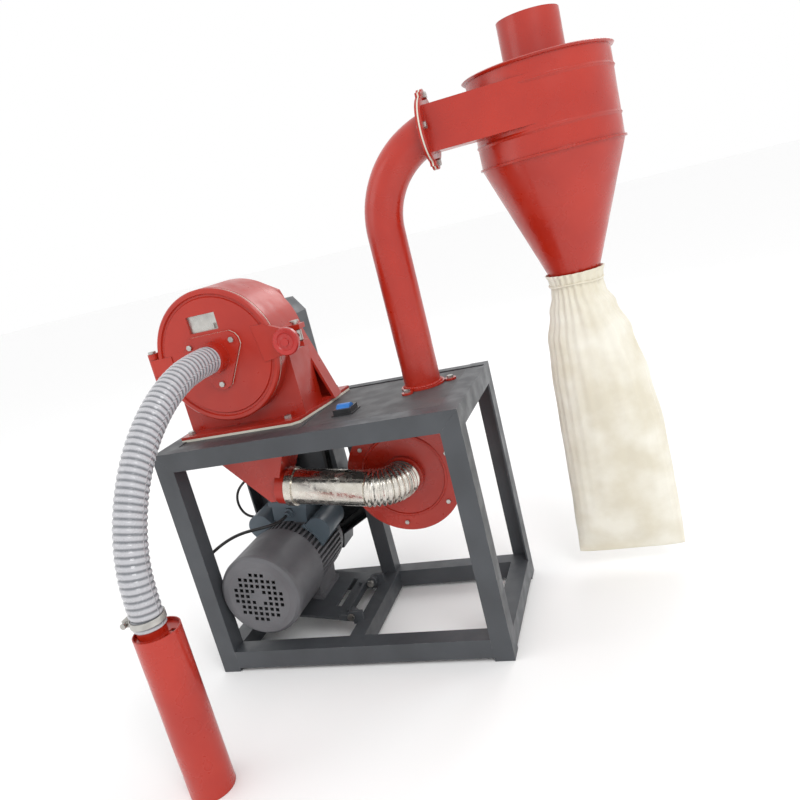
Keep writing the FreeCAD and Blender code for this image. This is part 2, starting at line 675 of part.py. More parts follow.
def build_door():
    """The round dished door with its lug, knuckle, window, spigot and latch wheel."""
    face = drum_y - door_t - 0.5
    disc = turned("door_disc", [
        (0, 3), (118, 3), (120, 6), (124, 6), (126, 2), (drum_r - 3, 2), (drum_r, 5),
        (drum_r, 11), (drum_r - sheet_t - 3, 11), (drum_r - sheet_t - 3, door_t),
        (0, door_t)], (mill_x, face, mill_z), "Y")
    pin_x = mill_x - HINGE_OUT
    plate_back = face + 11
    strap = box("door_strap", (pin_x, face + 1, mill_z - 17.5), (mill_x - drum_r + 34, plate_back, mill_z + 17.5))
    knuckle = rod("door_knuckle", KNUCKLE_R, 35, (pin_x, HINGE_Y, mill_z - 17.5))
    lug_z = mill_z + LATCH_Z
    lug = plate("door_lug", [(drum_r - 34, -34), (LATCH_OUT - 8, -26), (LATCH_OUT + 14, -12),
                             (LATCH_OUT + 14, 12), (drum_r - 18, 40), (drum_r - 44, 40)],
                10, (mill_x, face + 1, lug_z), upright=True)
    knuckle_bore = rod("door_knuckle_bore", HINGE_PIN_R + fit, 35, (pin_x, HINGE_Y, mill_z - 17.5))
    latch_bore = rod("door_latch_bore", size(4.5) + fit, 40, (mill_x + LATCH_OUT, face - 5, lug_z), "Y")
    inlet_bore = rod("door_inlet_bore", spigot_r, 40, (mill_x, face - 5, mill_z), "Y")
    wx = mill_x + WINDOW["x"]
    wz = mill_z + WINDOW["z"]
    window = box("door_window", (wx - WINDOW["w"] / 2, face - 5, wz - WINDOW["h"] / 2),
                 (wx + WINDOW["w"] / 2, face + door_t + 5, wz + WINDOW["h"] / 2))
    pocket = box("door_gate_pocket", (wx - WINDOW["w"] / 2 - 42, size(face) + 9 - fit, wz - 20.5 - fit),
                 (wx + WINDOW["w"] / 2 + 6 + fit, face + 11 + fit, wz + 20.5 + fit))
    bolts = [rod(f"door_bolt_bore_{i}", 3.5, 40, (x, face - 5, z), "Y")
             for i, (x, z) in enumerate(inlet_bolts())]
    body = fuse("door_solid", disc, strap, knuckle, lug)
    node("door", cut("door", body, knuckle_bore, latch_bore, inlet_bore, window, pocket, *bolts))
    gate_low = (wx - WINDOW["w"] / 2 - 2, face + 9, wz - 20.5)
    gate_high = (wx + WINDOW["w"] / 2 + 6, face + 11, wz + 20.5)
    gate = box("gate_plate", gate_low, gate_high)
    tab = box("gate_tab", (wx + 22, face + 3.2, wz - 15), (wx + 25, face + 9, wz - 5))
    node("air_gate", fuse("air_gate", gate, tab))

    lobe = 56
    corners = []
    for degrees in INLET_ANGLES:
        for spread in (-16, -5, 5, 16):
            reach = lobe + (12 if abs(spread) < 10 else 8)
            turn = math.radians(degrees + spread)
            corners.append((reach * math.cos(turn), reach * math.sin(turn)))
    holes = [((0, 0), spigot_r - 2)]
    holes += [((lobe * math.cos(math.radians(a)), lobe * math.sin(math.radians(a))), 3.5)
              for a in INLET_ANGLES]
    front = face + 3
    gasket = plate("inlet_gasket", corners, 3, (mill_x, front - 3, mill_z), holes, upright=True)
    felt = tube("door_felt", drum_r - 0.5, drum_r - sheet_t + 0.5, 3, (mill_x, face + 11, mill_z), "Y")
    node("door_gaskets", group("door_gaskets", gasket, felt))
    flange = plate("inlet_plate", corners, 5, (mill_x, front - 8, mill_z), holes, upright=True)
    collar = tube("spigot_collar", spigot_r + 8, spigot_r - 2, 26, (mill_x, front - 34, mill_z), "Y")
    node("inlet_spigot", fuse("inlet_spigot", flange, collar))
    screws = [bolt(f"inlet_bolt_{i}", (x, front - 8, z), "-Y", 6, 4.5, 3, 14)
              for i, (x, z) in enumerate(inlet_bolts())]
    node("inlet_bolts", group("inlet_bolts", *screws))

    wheel_at = (mill_x + LATCH_OUT, face + 1 - 26, lug_z)
    wheel = turned("latch_wheel", [
        (0, 0), (8, 0), (8, 4), (12, 5), (16, 5), (18, 3), (25, 2), (27, 5), (27, 13), (24, 16),
        (17, 14), (11, 14), (11, 25.5), (4.5, 25.5), (4.5, 71), (0, 71)], wheel_at, "Y")
    node("latch_handwheel", wheel)
    nut_at = (mill_x + LATCH_OUT, LATCH_Y + 13, lug_z - 24)
    barrel = turned("barrel_nut", [(0, 0), (6, 0), (6, 12.2), (9, 14), (9, 34), (6, 35.8), (6, 50),
                                   (9, 50), (9, 54), (0, 54)], nut_at)
    screw_hole = rod("barrel_nut_hole", 6.5, 30, (mill_x + LATCH_OUT, LATCH_Y - 2, lug_z), "Y")
    node("latch_barrel_nut", cut("latch_barrel_nut", barrel, screw_hole))


INLET_ANGLES = (30, 150, 270)


def inlet_bolts():
    """Centres of the three bolts round the inlet."""
    for degrees in INLET_ANGLES:
        yield around(mill_x, mill_z, 56, degrees)


# ---------------------------------------------------------------- hopper and suction line
HOPPER_TIP = (187, 197, 86, 154)
HOPPER_LOW = 351
SHEET = 1.5
LINE_SLOPE = 8.8
LINE_BEND = 57
LINE_LENGTH = 165
SPOUT = 30


def line_points():
    """Where the suction line leaves the funnel, starts its bend and meets the fan."""
    along = Vector(math.cos(math.radians(LINE_SLOPE)), 0, -math.sin(math.radians(LINE_SLOPE)))
    fan_end = Vector(fan_x.value, fan_y.value - 14, fan_z.value)
    bend_start = fan_end - along * LINE_BEND - Vector(0, LINE_BEND, 0)
    tube_start = bend_start - along * LINE_LENGTH
    return along, fan_end, bend_start, tube_start


def build_suction_line():
    along, fan_end, bend_start, tube_start = line_points()
    lean = Rotation(Vector(0, 1, 0), 90 + LINE_SLOPE)
    shift = Vector(shift_x.value, shift_y.value, 0)

    def run(name, outer, inner, length, start):
        sleeve = unique("Part::Cylinder", name + "_outer")
        bore = unique("Part::Cylinder", name + "_bore")
        for part, radius in ((sleeve, outer), (bore, inner)):
            bind(part, "Radius", radius)
            bind(part, "Height", length)
            part.Placement = Placement(start + shift, lean)
        return cut(name, sleeve, bore)

    spout_start = tube_start - along * SPOUT
    node("hopper", hopper_shell("hopper", spout_start, along))
    node("suction_tube", run("suction_tube", tube_r, tube_r - SHEET, LINE_LENGTH, tube_start))
    band = run("collar_band", tube_r + 4, tube_r, 16, tube_start - along * 8)
    node("tube_collar", band)

    plane = Rotation(Vector(0, 1, 0), LINE_SLOPE) * Rotation(Vector(0, 0, 1), -90)
    centre = bend_start + Vector(0, LINE_BEND, 0)
    shells = []
    for name, radius in (("outer", tube_r + 2.5), ("bore", tube_r - SHEET)):
        torus = unique("Part::Torus", "elbow_" + name)
        bind(torus, "Radius1", LINE_BEND)
        bind(torus, "Radius2", radius)
        torus.Angle3 = 90
        torus.Placement = Placement(centre + shift, plane)
        shells.append(torus)
    node("corrugated_elbow", cut("corrugated_elbow", *shells))


def hopper_shell(name, spout_start, along):
    """A four-sided funnel of sheet with a round spout on its right side."""
    top = (frame_h - plate_inset - plate_t).value
    x0, x1, y0, y1 = HOPPER_TIP

    def loft(grow):
        levels = []
        for z, (a, b, c, d) in ((top, HOPPER_X + HOPPER_Y), (HOPPER_LOW - grow, HOPPER_TIP)):
            corners = [Vector(a - grow, c - grow, z), Vector(b + grow, c - grow, z),
                       Vector(b + grow, d + grow, z), Vector(a - grow, d + grow, z)]
            levels.append(Part.makePolygon(corners + corners[:1]))
        return Part.makeLoft(levels, True, True)

    radius = tube_r.value
    spout = Part.makeCylinder(radius, SPOUT, spout_start, along)
    spout_bore = Part.makeCylinder(radius - SHEET, SPOUT, spout_start, along)
    shell = loft(SHEET).fuse(spout).cut(loft(0)).cut(spout_bore)
    hopper = unique("Part::Feature", name)
    hopper.Shape = shell
    hopper.Placement = Placement(Vector(shift_x.value, shift_y.value, 0), Rotation())
    return hopper


# ---------------------------------------------------------------- fan
FAN_WALL = 3
OUTLET_HALF = 51
COVER_T = 2.5
FAN_BOLT_ANGLES = (20, 80, 140, 200, 260, 320)
FAN_BOLT_CIRCLE = 108


def build_fan():
    """Volute, front cover, bladed wheel, shaft with its pulley."""
    low_top = frame_h - plate_inset - plate_t
    right = fan_x + fan_r
    left = pipe_x - OUTLET_HALF
    back = fan_y + fan_depth
    drum = rod("volute_drum", fan_r, fan_depth, (fan_x, fan_y, fan_z), "Y")
    neck = box("volute_neck", (left, fan_y, fan_z), (right, back, low_top))
    drum_void = rod("volute_void", fan_r - FAN_WALL, fan_depth - FAN_WALL,
                    (fan_x, fan_y, fan_z), "Y")
    neck_void = box("neck_void", (left + FAN_WALL, fan_y, fan_z),
                    (right - FAN_WALL, back - FAN_WALL, low_top - FAN_WALL))
    outlet = rod("fan_outlet", pipe_r - pipe_t, 10, (pipe_x, pipe_y, low_top - 6))
    shaft_bore = rod("fan_shaft_bore", FAN_SHAFT_R + 3, 10, (fan_x, back - 6, fan_z), "Y")
    bolt_bores = [rod(f"pipe_bore_{i}", BASE_BOLT_R + 0.5, 10, (x, y, low_top - 6))
                  for i, (x, y) in enumerate(pipe_bolts())]
    node("fan_casing", cut("fan_casing", fuse("volute", drum, neck), drum_void, neck_void,
                           outlet, shaft_bore, *bolt_bores))

    cover_y = fan_y - COVER_T
    disc = rod("cover_disc", fan_r, COVER_T, (fan_x, cover_y, fan_z), "Y")
    panel = box("cover_panel", (left, cover_y, fan_z), (right, fan_y, low_top))
    bead = ring("cover_bead", 90, 3, (fan_x, cover_y, fan_z), "Y")
    eye = rod("cover_eye", tube_r + 7, 12, (fan_x, fan_y - 14, fan_z), "Y")
    eye_bore = rod("cover_bore", tube_r - SHEET, 20, (fan_x, fan_y - 16, fan_z), "Y")
    inside = box("cover_inside", (left - 200, fan_y, fan_z - 200), (right + 5, back, low_top + 5))
    node("fan_cover", cut("fan_cover", fuse("cover_solid", disc, panel, bead, eye), eye_bore,
                          inside))

    wheel_y = back - FAN_WALL - 10
    hub = tube("wheel_hub", 22, FAN_SHAFT_R + fit, 34, (fan_x, wheel_y - 28, fan_z), "Y")
    disc = tube("wheel_disc", 104, FAN_SHAFT_R + fit, 3, (fan_x, wheel_y, fan_z), "Y")
    blades = []
    for i in range(8):
        blade = box(f"blade_{i}", (fan_x + 20, wheel_y - 56, fan_z),
                    (fan_x + 102, wheel_y + 1, fan_z + 2.5))
        blades.append(spun(f"blade_turned_{i}", blade, fan_x, fan_z, 45 * i))
    node("fan_wheel", fuse("fan_wheel", hub, disc, *blades))
    node("fan_shaft", rod("fan_shaft", FAN_SHAFT_R, 148, (fan_x, fan_y + 46, fan_z), "Y"))
    housing = turned("fan_bearing_housing", [
        (26, 0), (50, 0), (50, 6), (32, 6), (32, 66), (26, 66)], (fan_x, back, fan_z), "Y")
    return housing


def sheave(name, grooves, bore, at, width):
    """A pulley: V grooves of given (radius, place across) turned into a rim."""
    points = [(bore + fit, 0), (grooves[0][0], 0)]
    for radius, middle in grooves:
        points += [(radius, middle - 6.6), (radius - belt_t - 1.5, middle - 4.2),
                   (radius - belt_t - 1.5, middle + 4.2), (radius, middle + 6.6)]
    points += [(grooves[-1][0], width), (bore + fit, width)]
    return turned(name, points, at, "Y")


# ---------------------------------------------------------------- motor
FEET_DROP = 96
PLATE_T = 5
FEET_Y = (184, 258)
BODY_Y = (158, 284)
CAP = {"half": 29, "crown": 102, "front": 190, "length": 95}


def motor_point(x, z):
    """Where a point of the upright motor lies once the plate leans."""
    lean = math.radians(tilt.value)
    dx = x - hinge_x
    dz = z - hinge_z
    return (hinge_x + dx * math.cos(lean) + dz * math.sin(lean),
            hinge_z - dx * math.sin(lean) + dz * math.cos(lean))


def build_motor():
    build_motor_plate()
    build_motor_housing()
    build_motor_cover()
    build_motor_boxes()
    build_motor_rotor()


def build_motor_plate():
    floor = motor_z - FEET_DROP
    low = floor - PLATE_T
    edge = hinge_x - EYE_R - 3
    solids = [box("mount_base", (24, 104, low), (edge, 298, floor))]
    for i, y in enumerate((EAR_Y[0] + EAR_T + 0.5, EAR_Y[1] - 12.5)):
        solids.append(box(f"mount_arm_{i}", (edge - 20, y, low), (hinge_x, size(y) + 12, hinge_z - 4)))
        solids.append(rod(f"mount_eye_{i}", EYE_R, 12, (hinge_x, y, hinge_z), "Y"))
    solids.append(box("mount_lip", (edge - 6, 118, low), (edge, 235, floor + 14)))
    bores = [rod("mount_bore", PIVOT_R + fit, 200, (hinge_x, 90, hinge_z), "Y")]
    bores += [rod(f"mount_foot_bore_{i}", FOOT_BOLT_R, 30, (x, y, floor - 20))
              for i, (x, y) in enumerate(feet_bolts())]
    bores.append(box("mount_slot", (edge - 44, 150, low - 1), (edge - 32, 270, floor + 1)))
    node("motor_plate", tilted(cut("motor_plate", fuse("mount_solid", *solids), *bores)))


def build_motor_housing():
    floor = motor_z - FEET_DROP
    start, end = BODY_Y
    solids = [finned_shell("motor_fins", start, end - start)]
    for i, x in enumerate((-74, 46)):
        solids.append(box(f"foot_{i}", (motor_x + x, 170, floor), (motor_x + x + 28, 272, floor + 9)))
        solids.append(box(f"foot_web_{i}", (motor_x + x + 6, 174, floor + 9),
                          (motor_x + x + 20, 268, motor_z - 52)))
    solids.append(box("terminal_pad", (motor_x - 36, 200, motor_z + 66),
                      (motor_x + 36, 280, motor_z + TERMINAL_LOW)))
    bores = [rod(f"foot_bore_{i}", FOOT_BOLT_R, 30, (x, y, floor - 10))
             for i, (x, y) in enumerate(feet_bolts())]
    bores.append(rod("stator_void", STATOR_R, end - start, (motor_x, start, motor_z), "Y"))
    journal = BEARING_R + fit
    front = turned("front_shield", [
        (journal, 0), (70, 0), (cover_r - COVER_SKIN, 2), (cover_r - COVER_SKIN, 10), (motor_r, 10),
        (motor_r, 16), (journal, 16)], (motor_x, start - 16, motor_z), "Y")
    rear = turned("rear_shield", [
        (journal, 0), (84, 0), (84, 16), (62, 26), (40, 30), (36, 36), (journal, 36)],
        (motor_x, end, motor_z), "Y")
    shell = fuse("motor_case", cut("motor_shell", fuse("motor_solid", *solids), *bores), front, rear)
    stator = tube("stator", STATOR_R, 46, 100, (motor_x, start + 12, motor_z), "Y")
    screws = []
    for i, (x, y) in enumerate(feet_bolts()):
        screws.append(bolt(f"foot_screw_{i}", (x, y, floor + 9), "Z", 7, 5, FOOT_BOLT_R, 20))
    node("motor_housing", tilted(group("motor_housing", shell, stator, *screws)))


FOOT_BOLT_R = 4
BEARING_R = 15.5
STATOR_R = 70
COVER_SKIN = 1.5
COVER_LONG = 136
TERMINAL_LOW = 84


def build_motor_cover():
    inner = cover_r - COVER_SKIN
    shell = turned("cover_shell", [
        (70, 0), (84, 2), (90, 7), (cover_r, 14), (cover_r, COVER_LONG), (inner, COVER_LONG),
        (inner, 14.5), (89, 9), (83, 4), (70, 2)], (motor_x, motor_front, motor_z), "Y")
    grille = rod("cover_grille", 71, 2, (motor_x, motor_front, motor_z), "Y")
    holes = []
    pitch = 13
    for row in range(-4, 5):
        for col in range(-4, 5):
            if 18 < math.hypot(row, col) * pitch < 58:
                x = motor_x + col * pitch
                z = motor_z + row * pitch
                holes.append(box(f"grille_{row + 4}_{col + 4}", (x - 4, motor_front - 1, z - 4),
                                 (x + 4, motor_front + 3, z + 4)))
    node("motor_fan_cover", tilted(fuse("motor_fan_cover", shell, cut("grille_plate", grille, *holes))))


def build_motor_boxes():
    low = motor_z + TERMINAL_LOW
    case = box("terminal_case", (motor_x - 40, 200, low), (motor_x + 44, 280, low + 38))
    lid = box("terminal_lid", (motor_x - 46, 195, low + 38), (motor_x + 48, 285, low + 48))
    gland_z = low + 24
    gland = rod("cable_gland", 12, 8, (motor_x + 2.5, 192, gland_z), "Y")
    gland_nut = rod("gland_nut", 8, 12, (motor_x + 2.5, 180, gland_z), "Y")
    saddle = rod("terminal_saddle", motor_r + 0.2, 100, (motor_x, 190, motor_z), "Y")
    node("terminal_box", tilted(cut("terminal_box", fuse("terminal_solid", case, lid, gland, gland_nut),
                                    saddle)))
    left = capacitor_cover("left", -45)
    boss = rod("cable_boss", 6, 22, (motor_x - 105, 240, motor_z + 72.1), "X")
    left_boss = fuse("capacitor_left_boss", left, boss)
    right = capacitor_cover("right", 45)
    room = box("terminal_room", (motor_x - 40.5, 199.5, motor_z + 60), (motor_x + 44.5, 280.5, low + 37))
    covers = [cut(f"capacitor_{side}_cut", cover, room)
              for side, cover in (("left", left_boss), ("right", right))]
    node("capacitor_covers", tilted(group("capacitor_covers", *covers)))


def build_motor_rotor():
    start, end = BODY_Y
    shaft = turned("motor_spindle", [
        (0, 90), (9, 90), (9, 128), (BEARING_R, 128), (BEARING_R, start + 8), (20, start + 8),
        (20, end - 8), (BEARING_R, end - 8), (BEARING_R, end + 36), (motor_shaft_r, end + 36),
        (motor_shaft_r, 396), (0, 396)], (motor_x, 0, motor_z), "Y")
    core = tube("rotor_core", 45.5, 20, 100, (motor_x, start + 12, motor_z), "Y")
    node("motor_shaft", tilted(group("motor_shaft", shaft, core)))
    hub = tube("cooling_hub", 20, 9 + fit, 22, (motor_x, 98, motor_z), "Y")
    disc = tube("cooling_disc", 78, 9 + fit, 2, (motor_x, 118, motor_z), "Y")
    vanes = []
    for i in range(6):
        vane = box(f"vane_{i}", (motor_x + 18, 96, motor_z - 1), (motor_x + 76, 119, motor_z + 1))
        vanes.append(spun(f"vane_{i}_turned", vane, motor_x, motor_z, 60 * i))
    node("cooling_fan", tilted(fuse("cooling_fan", hub, disc, *vanes)))
    grooves = [(fan_drive, size(10)), (motor_sheave, belt_pitch + 10), (motor_sheave, belt_pitch * 2 + 10)]
    node("motor_pulley", tilted(sheave("motor_pulley", grooves, motor_shaft_r,
                                       (motor_x, belt_y - 10, motor_z), 50)))


def feet_bolts():
    """Centres of the four bolts that hold the motor's feet."""
    for x in (-60, 60):
        for y in FEET_Y:
            yield motor_x + x, y


def capacitor_cover(side, turn):
    """A half-round cover that sits on the body's fins, leaning to one side."""
    half = CAP["half"]
    y = CAP["front"]
    length = CAP["length"]
    crown = motor_z + CAP["crown"]
    low = box(f"cap_{side}_box", (motor_x - half, y, motor_z + 74), (motor_x + half, y + length, crown))
    dome = rod(f"cap_{side}_dome", half, length, (motor_x, y, crown), "Y")
    foot = box(f"cap_{side}_foot", (motor_x - half - 4, y - 4, motor_z + 74),
               (motor_x + half + 4, y + length + 4, crown - 14))
    saddle = rod(f"cap_{side}_saddle", motor_r + 0.2, length + 20, (motor_x, y - 10, motor_z), "Y")
    cover = cut(f"cap_{side}", fuse(f"cap_{side}_solid", low, dome, foot), saddle)
    return spun(f"capacitor_{side}", cover, motor_x, motor_z, turn)


def finned_shell(name, y, length):
    """The motor's ribbed body: a star outline drawn out along the shaft."""
    outer = motor_r.value
    points = []
    fins = 44
    for i in range(fins):
        middle = 2 * math.pi * i / fins
        for step, radius in ((-0.30, outer - 9), (-0.22, outer), (0.22, outer), (0.30, outer - 9)):
            a = middle + step * 2 * math.pi / fins
            points.append(Vector(radius * math.cos(a), 0, radius * math.sin(a)))
    face = Part.Face(Part.makePolygon(points + points[:1]))
    shell = unique("Part::Feature", name)
    shell.Shape = face.extrude(Vector(0, length, 0))
    shell.Placement = Placement(
        Vector((motor_x + shift_x).value, y + shift_y.value, motor_z.value), Rotation())
    return shell


# ---------------------------------------------------------------- belts and guard
def belt(first, second, y):
    """A V belt round two pulleys: (x, z, radius) of each."""
    (x1, z1, r1), (x2, z2, r2) = first, second
    span = math.hypot(x2 - x1, z2 - z1)
    heading = math.atan2(z2 - z1, x2 - x1)
    spread = math.acos((r1 - r2) / span)

    def point(x, z, radius, angle):
        return Vector(x + radius * math.cos(angle), y, z + radius * math.sin(angle))

    a1 = point(x1, z1, r1, heading + spread)
    a2 = point(x2, z2, r2, heading + spread)
    b1 = point(x1, z1, r1, heading - spread)
    b2 = point(x2, z2, r2, heading - spread)
    far = point(x2, z2, r2, heading)
    near = point(x1, z1, r1, heading + math.pi)
    edges = [Part.makeLine(b1, b2), Part.Arc(b2, far, a2).toShape(), Part.makeLine(a2, a1),
             Part.Arc(a1, near, b1).toShape()]
    path = Part.Wire(edges)
    along = (b2 - b1).normalize()
    inward = Vector(0, 1, 0).cross(along)
    if inward.dot(Vector(x1, y, z1) - b1) < 0:
        inward = inward * -1
    across = Vector(0, 1, 0)
    half_out, half_in, height = 6.1, 4.1, belt_t.value
    corners = [b1 - across * half_out, b1 + across * half_out,
               b1 + across * half_in + inward * height, b1 - across * half_in + inward * height]
    profile = Part.makePolygon(corners + corners[:1])
    return path.makePipeShell([profile], True, True)


def build_drive():
    mx, mz = motor_point(motor_x, motor_z)
    gap = 0.3
    motor = (mx.value, mz.value)
    mill = (mill_x.value, mill_z.value, mill_sheave.value + gap)
    fan = (fan_x.value, fan_z.value, fan_sheave.value + gap)
    first = belt_y.value
    loops = [belt(motor + (fan_drive.value + gap,), fan, first)]
    for i in (1, 2):
        loops.append(belt(motor + (motor_sheave.value + gap,), mill, first + belt_pitch.value * i))
    belts = unique("Part::Feature", "drive_belts")
    belts.Shape = Part.Compound(loops)
    belts.Placement = Placement(Vector(shift_x.value, shift_y.value, 0), Rotation())
    node("drive_belts", belts)

    start = belt_y + belt_pitch - 10
    node("mill_pulley", sheave("mill_pulley", [(mill_sheave, size(10)), (mill_sheave, belt_pitch + 10)],
                               shaft_r, (mill_x, start, mill_z), 35))
    node("fan_pulley", sheave("fan_pulley", [(fan_sheave, size(10))], FAN_SHAFT_R,
                              (fan_x, belt_y - 10, fan_z), 20))

    guard = unique("Part::Feature", "belt_guard")
    guard.Shape = Part.Compound(guard_walls() + guard_back() + guard_lugs())
    guard.Placement = Placement(Vector(shift_x.value, shift_y.value, 0), Rotation())
    node("belt_guard", guard)


GUARD_EDGE = [(70, 104), (190, 104), (200, 140), (482, 290), (505, 315), (505, 365), (480, 392),
              (445, 392), (232, 285), (232, 700), (208, 736), (136, 736), (112, 700), (70, 220)]
GUARD_SHEET = 2.5
GUARD_DEPTH = 66


def prism(points, y, depth):
    """A flat outline in X and Z, drawn out towards the back."""
    corners = [Vector(x, y, z) for x, z in points]
    return Part.Face(Part.makePolygon(corners + corners[:1])).extrude(Vector(0, depth, 0))


def guard_walls():
    """The guard's rim, one straight wall for each edge, mitred at the corners."""
    count = len(GUARD_EDGE)
    normals = []
    for i, (x, z) in enumerate(GUARD_EDGE):
        ahead_x, ahead_z = GUARD_EDGE[(i + 1) % count]
        span = math.hypot(ahead_x - x, ahead_z - z)
        normals.append((-(ahead_z - z) / span, (ahead_x - x) / span))
    inner = []
    for i, (x, z) in enumerate(GUARD_EDGE):
        before, after = normals[i - 1], normals[i]
        reach = GUARD_SHEET / (1 + before[0] * after[0] + before[1] * after[1])
        inner.append((x + reach * (before[0] + after[0]), z + reach * (before[1] + after[1])))
    walls = []
    for i in range(count):
        k = (i + 1) % count
        corners = [GUARD_EDGE[i], GUARD_EDGE[k], inner[k], inner[i]]
        walls.append(prism(corners, frame_d.value + 2, GUARD_DEPTH - GUARD_SHEET))
    return walls


def guard_back():
    """The guard's back sheet in three plain parts: the column, its edge and the arm to the fan."""
    e = GUARD_EDGE
    joint_z = e[2][1] + (e[8][0] - e[2][0]) * (e[3][1] - e[2][1]) / (e[3][0] - e[2][0])
    joint = (e[8][0], joint_z)
    y = frame_d.value + 2 + GUARD_DEPTH - GUARD_SHEET
    outlines = [[e[0], e[1], e[2], e[10], e[11], e[12], e[13]], [e[2], joint, e[9], e[10]],
                [joint, e[3], e[4], e[5], e[6], e[7], e[8]]]
    return [prism(points, y, GUARD_SHEET) for points in outlines]


def guard_lugs():
    """Three tabs that bolt the guard to the frame."""
    rear_face = frame_d.value - angle_t.value
    return [Part.makeBox(30, 6, 24, Vector(222, rear_face, 480)),
            Part.makeBox(30, 6, 24, Vector(294, rear_face, 186)),
            Part.makeBox(50, 4, 24, Vector(20, frame_d.value, 150))]


# ---------------------------------------------------------------- discharge pipe and cyclone
FLANGE_X = 657
BEND_SWEEP = 84


def build_pipe():
    top = frame_h - plate_inset
    foot = rod("pipe_foot_disc", pipe_r + 8, 4, (pipe_x, pipe_y, top))
    lobes = [rod(f"pipe_lobe_{i}", 12, 4, (x, y, top)) for i, (x, y) in enumerate(pipe_bolts())]
    solids = [foot, *lobes]
    bores = []
    for i, (x, y) in enumerate(pipe_bolts()):
        bores.append(rod(f"pipe_lobe_bore_{i}", BASE_BOLT_R + 0.5, 4, (x, y, top)))
    low = top - plate_t
    solids.append(rod("riser", pipe_r, bend_z - low, (pipe_x, pipe_y, low)))
    bores.append(rod("riser_bore", pipe_r - pipe_t, bend_z - low, (pipe_x, pipe_y, low)))
    lay = Rotation(Vector(1, 0, 0), 90) * Rotation(Vector(0, 0, 1), 180 - BEND_SWEEP)
    centre = (pipe_x + bend_r, pipe_y, bend_z)
    solids.append(bend("pipe_bend", bend_r, pipe_r, BEND_SWEEP, centre, lay))
    bores.append(bend("pipe_bend_bore", bend_r, pipe_r - pipe_t, BEND_SWEEP, centre, lay))
    past = box("pipe_past", (FLANGE_X, 0, 800), (FLANGE_X + 200, 400, 1200))
    raw = cut("pipe_blank", fuse("pipe_solid", *solids), past)
    flange = oval_flange("pipe_flange", FLANGE_X - 4)
    node("discharge_pipe", cut("discharge_pipe", fuse("pipe_with_flange", raw, flange), *bores))
    gasket = cut("duct_gasket_blank", oval_flange("duct_gasket_oval", FLANGE_X, 3),
                 rod("duct_gasket_bore", pipe_r + 2, 10, (FLANGE_X - 2, pipe_y, duct_z()), "X"))
    return gasket


def duct_z():
    return (barrel_z + barrel_top) / 2 + 12


def oval_flange(name, x, thickness=4):
    """An upright oval plate with four bolt holes, thin along X."""
    z = duct_z()
    body = box(name + "_mid", (x, pipe_y - 50, z - 26), (size(x) + thickness, pipe_y + 50, z + 26))
    tall = box(name + "_tall", (x, pipe_y - 22, z - 66), (size(x) + thickness, pipe_y + 22, z + 66))
    disc = rod(name + "_disc", 62, thickness, (x, pipe_y, z), "X")
    lobes = [rod(f"{name}_lobe_{i}", 13, thickness, (x, pipe_y + dy, z + dz), "X")
             for i, (dy, dz) in enumerate(DUCT_BOLTS)]
    blank = fuse(name + "_blank", body, tall, disc, *lobes)
    bores = [rod(f"{name}_bore_{i}", BASE_BOLT_R + 0.5, thickness, (x, pipe_y + dy, z + dz), "X")
             for i, (dy, dz) in enumerate(DUCT_BOLTS)]
    return cut(name, blank, *bores)


DUCT_BOLTS = ((0, 60), (-47, 6), (0, -60), (47, 6))


def build_cyclone():
    height = barrel_top - barrel_z
    r = barrel_r
    barrel = turned("barrel_shell", [
        (r - skin, 0), (r + 4, 0), (r + 4, 2), (r, 3), (r, 38), (r + 2.5, 42), (r, 46), (r, 122),
        (r + 2.5, 126), (r, 130), (r, height - 6), (r + 4, height - 5), (r + 7, height - 2),
        (r + 4, height), (r - skin, height)], (cyc_x, cyc_y, barrel_z))
    z = duct_z()
    low_y = pipe_y - duct_w / 2
    high_y = pipe_y + duct_w / 2
    start = size(FLANGE_X) + 7
    duct = box("duct", (start, low_y, z - duct_h / 2), (cyc_x, high_y, z + duct_h / 2))
    inside = rod("duct_inside", r - skin, height, (cyc_x, cyc_y, barrel_z))
    duct_void = box("duct_void", (start - 8, low_y + skin, z - duct_h / 2 + skin),
                    (cyc_x, high_y - skin, z + duct_h / 2 - skin))
    flange = cut("duct_flange", oval_flange("duct_flange_oval", start - 4),
                 box("duct_flange_bore", (start - 8, low_y + skin, z - duct_h / 2 + skin),
                     (start + 1, high_y - skin, z + duct_h / 2 - skin)))
    node("cyclone_barrel", cut("cyclone_barrel", fuse("barrel_solid", barrel, duct, flange), inside,
                               duct_void))

    lid = rod("lid_plate", r - skin, 2, (cyc_x, cyc_y, barrel_top - 4))
    stack = rod("outlet_stack", outlet_r, outlet_top - barrel_z - 40, (cyc_x, cyc_y, barrel_z + 40))
    bore = rod("outlet_bore", outlet_r - skin, outlet_top - barrel_z - 40, (cyc_x, cyc_y, barrel_z + 40))
    node("cyclone_lid", cut("cyclone_lid", fuse("lid_solid", lid, stack), bore))

    drop = barrel_z - cone_z
    node("cyclone_cone", turned("cyclone_cone", [
        (cone_r - skin, 0), (cone_r, 0), (cone_r, 16), (r, drop - 2), (r + 4, drop - 2), (r + 4, drop),
        (r - skin, drop), (r - skin, drop - 2), (cone_r - skin, 17)], (cyc_x, cyc_y, cone_z)))


BAG_LEVELS = ((0, 877, 112, 25), (150, 881, 109, 38), (320, 882, 104, 44), (455, 872, 88, 46),
              (550, 870, 74, 48), (588, 865, 52, 50))


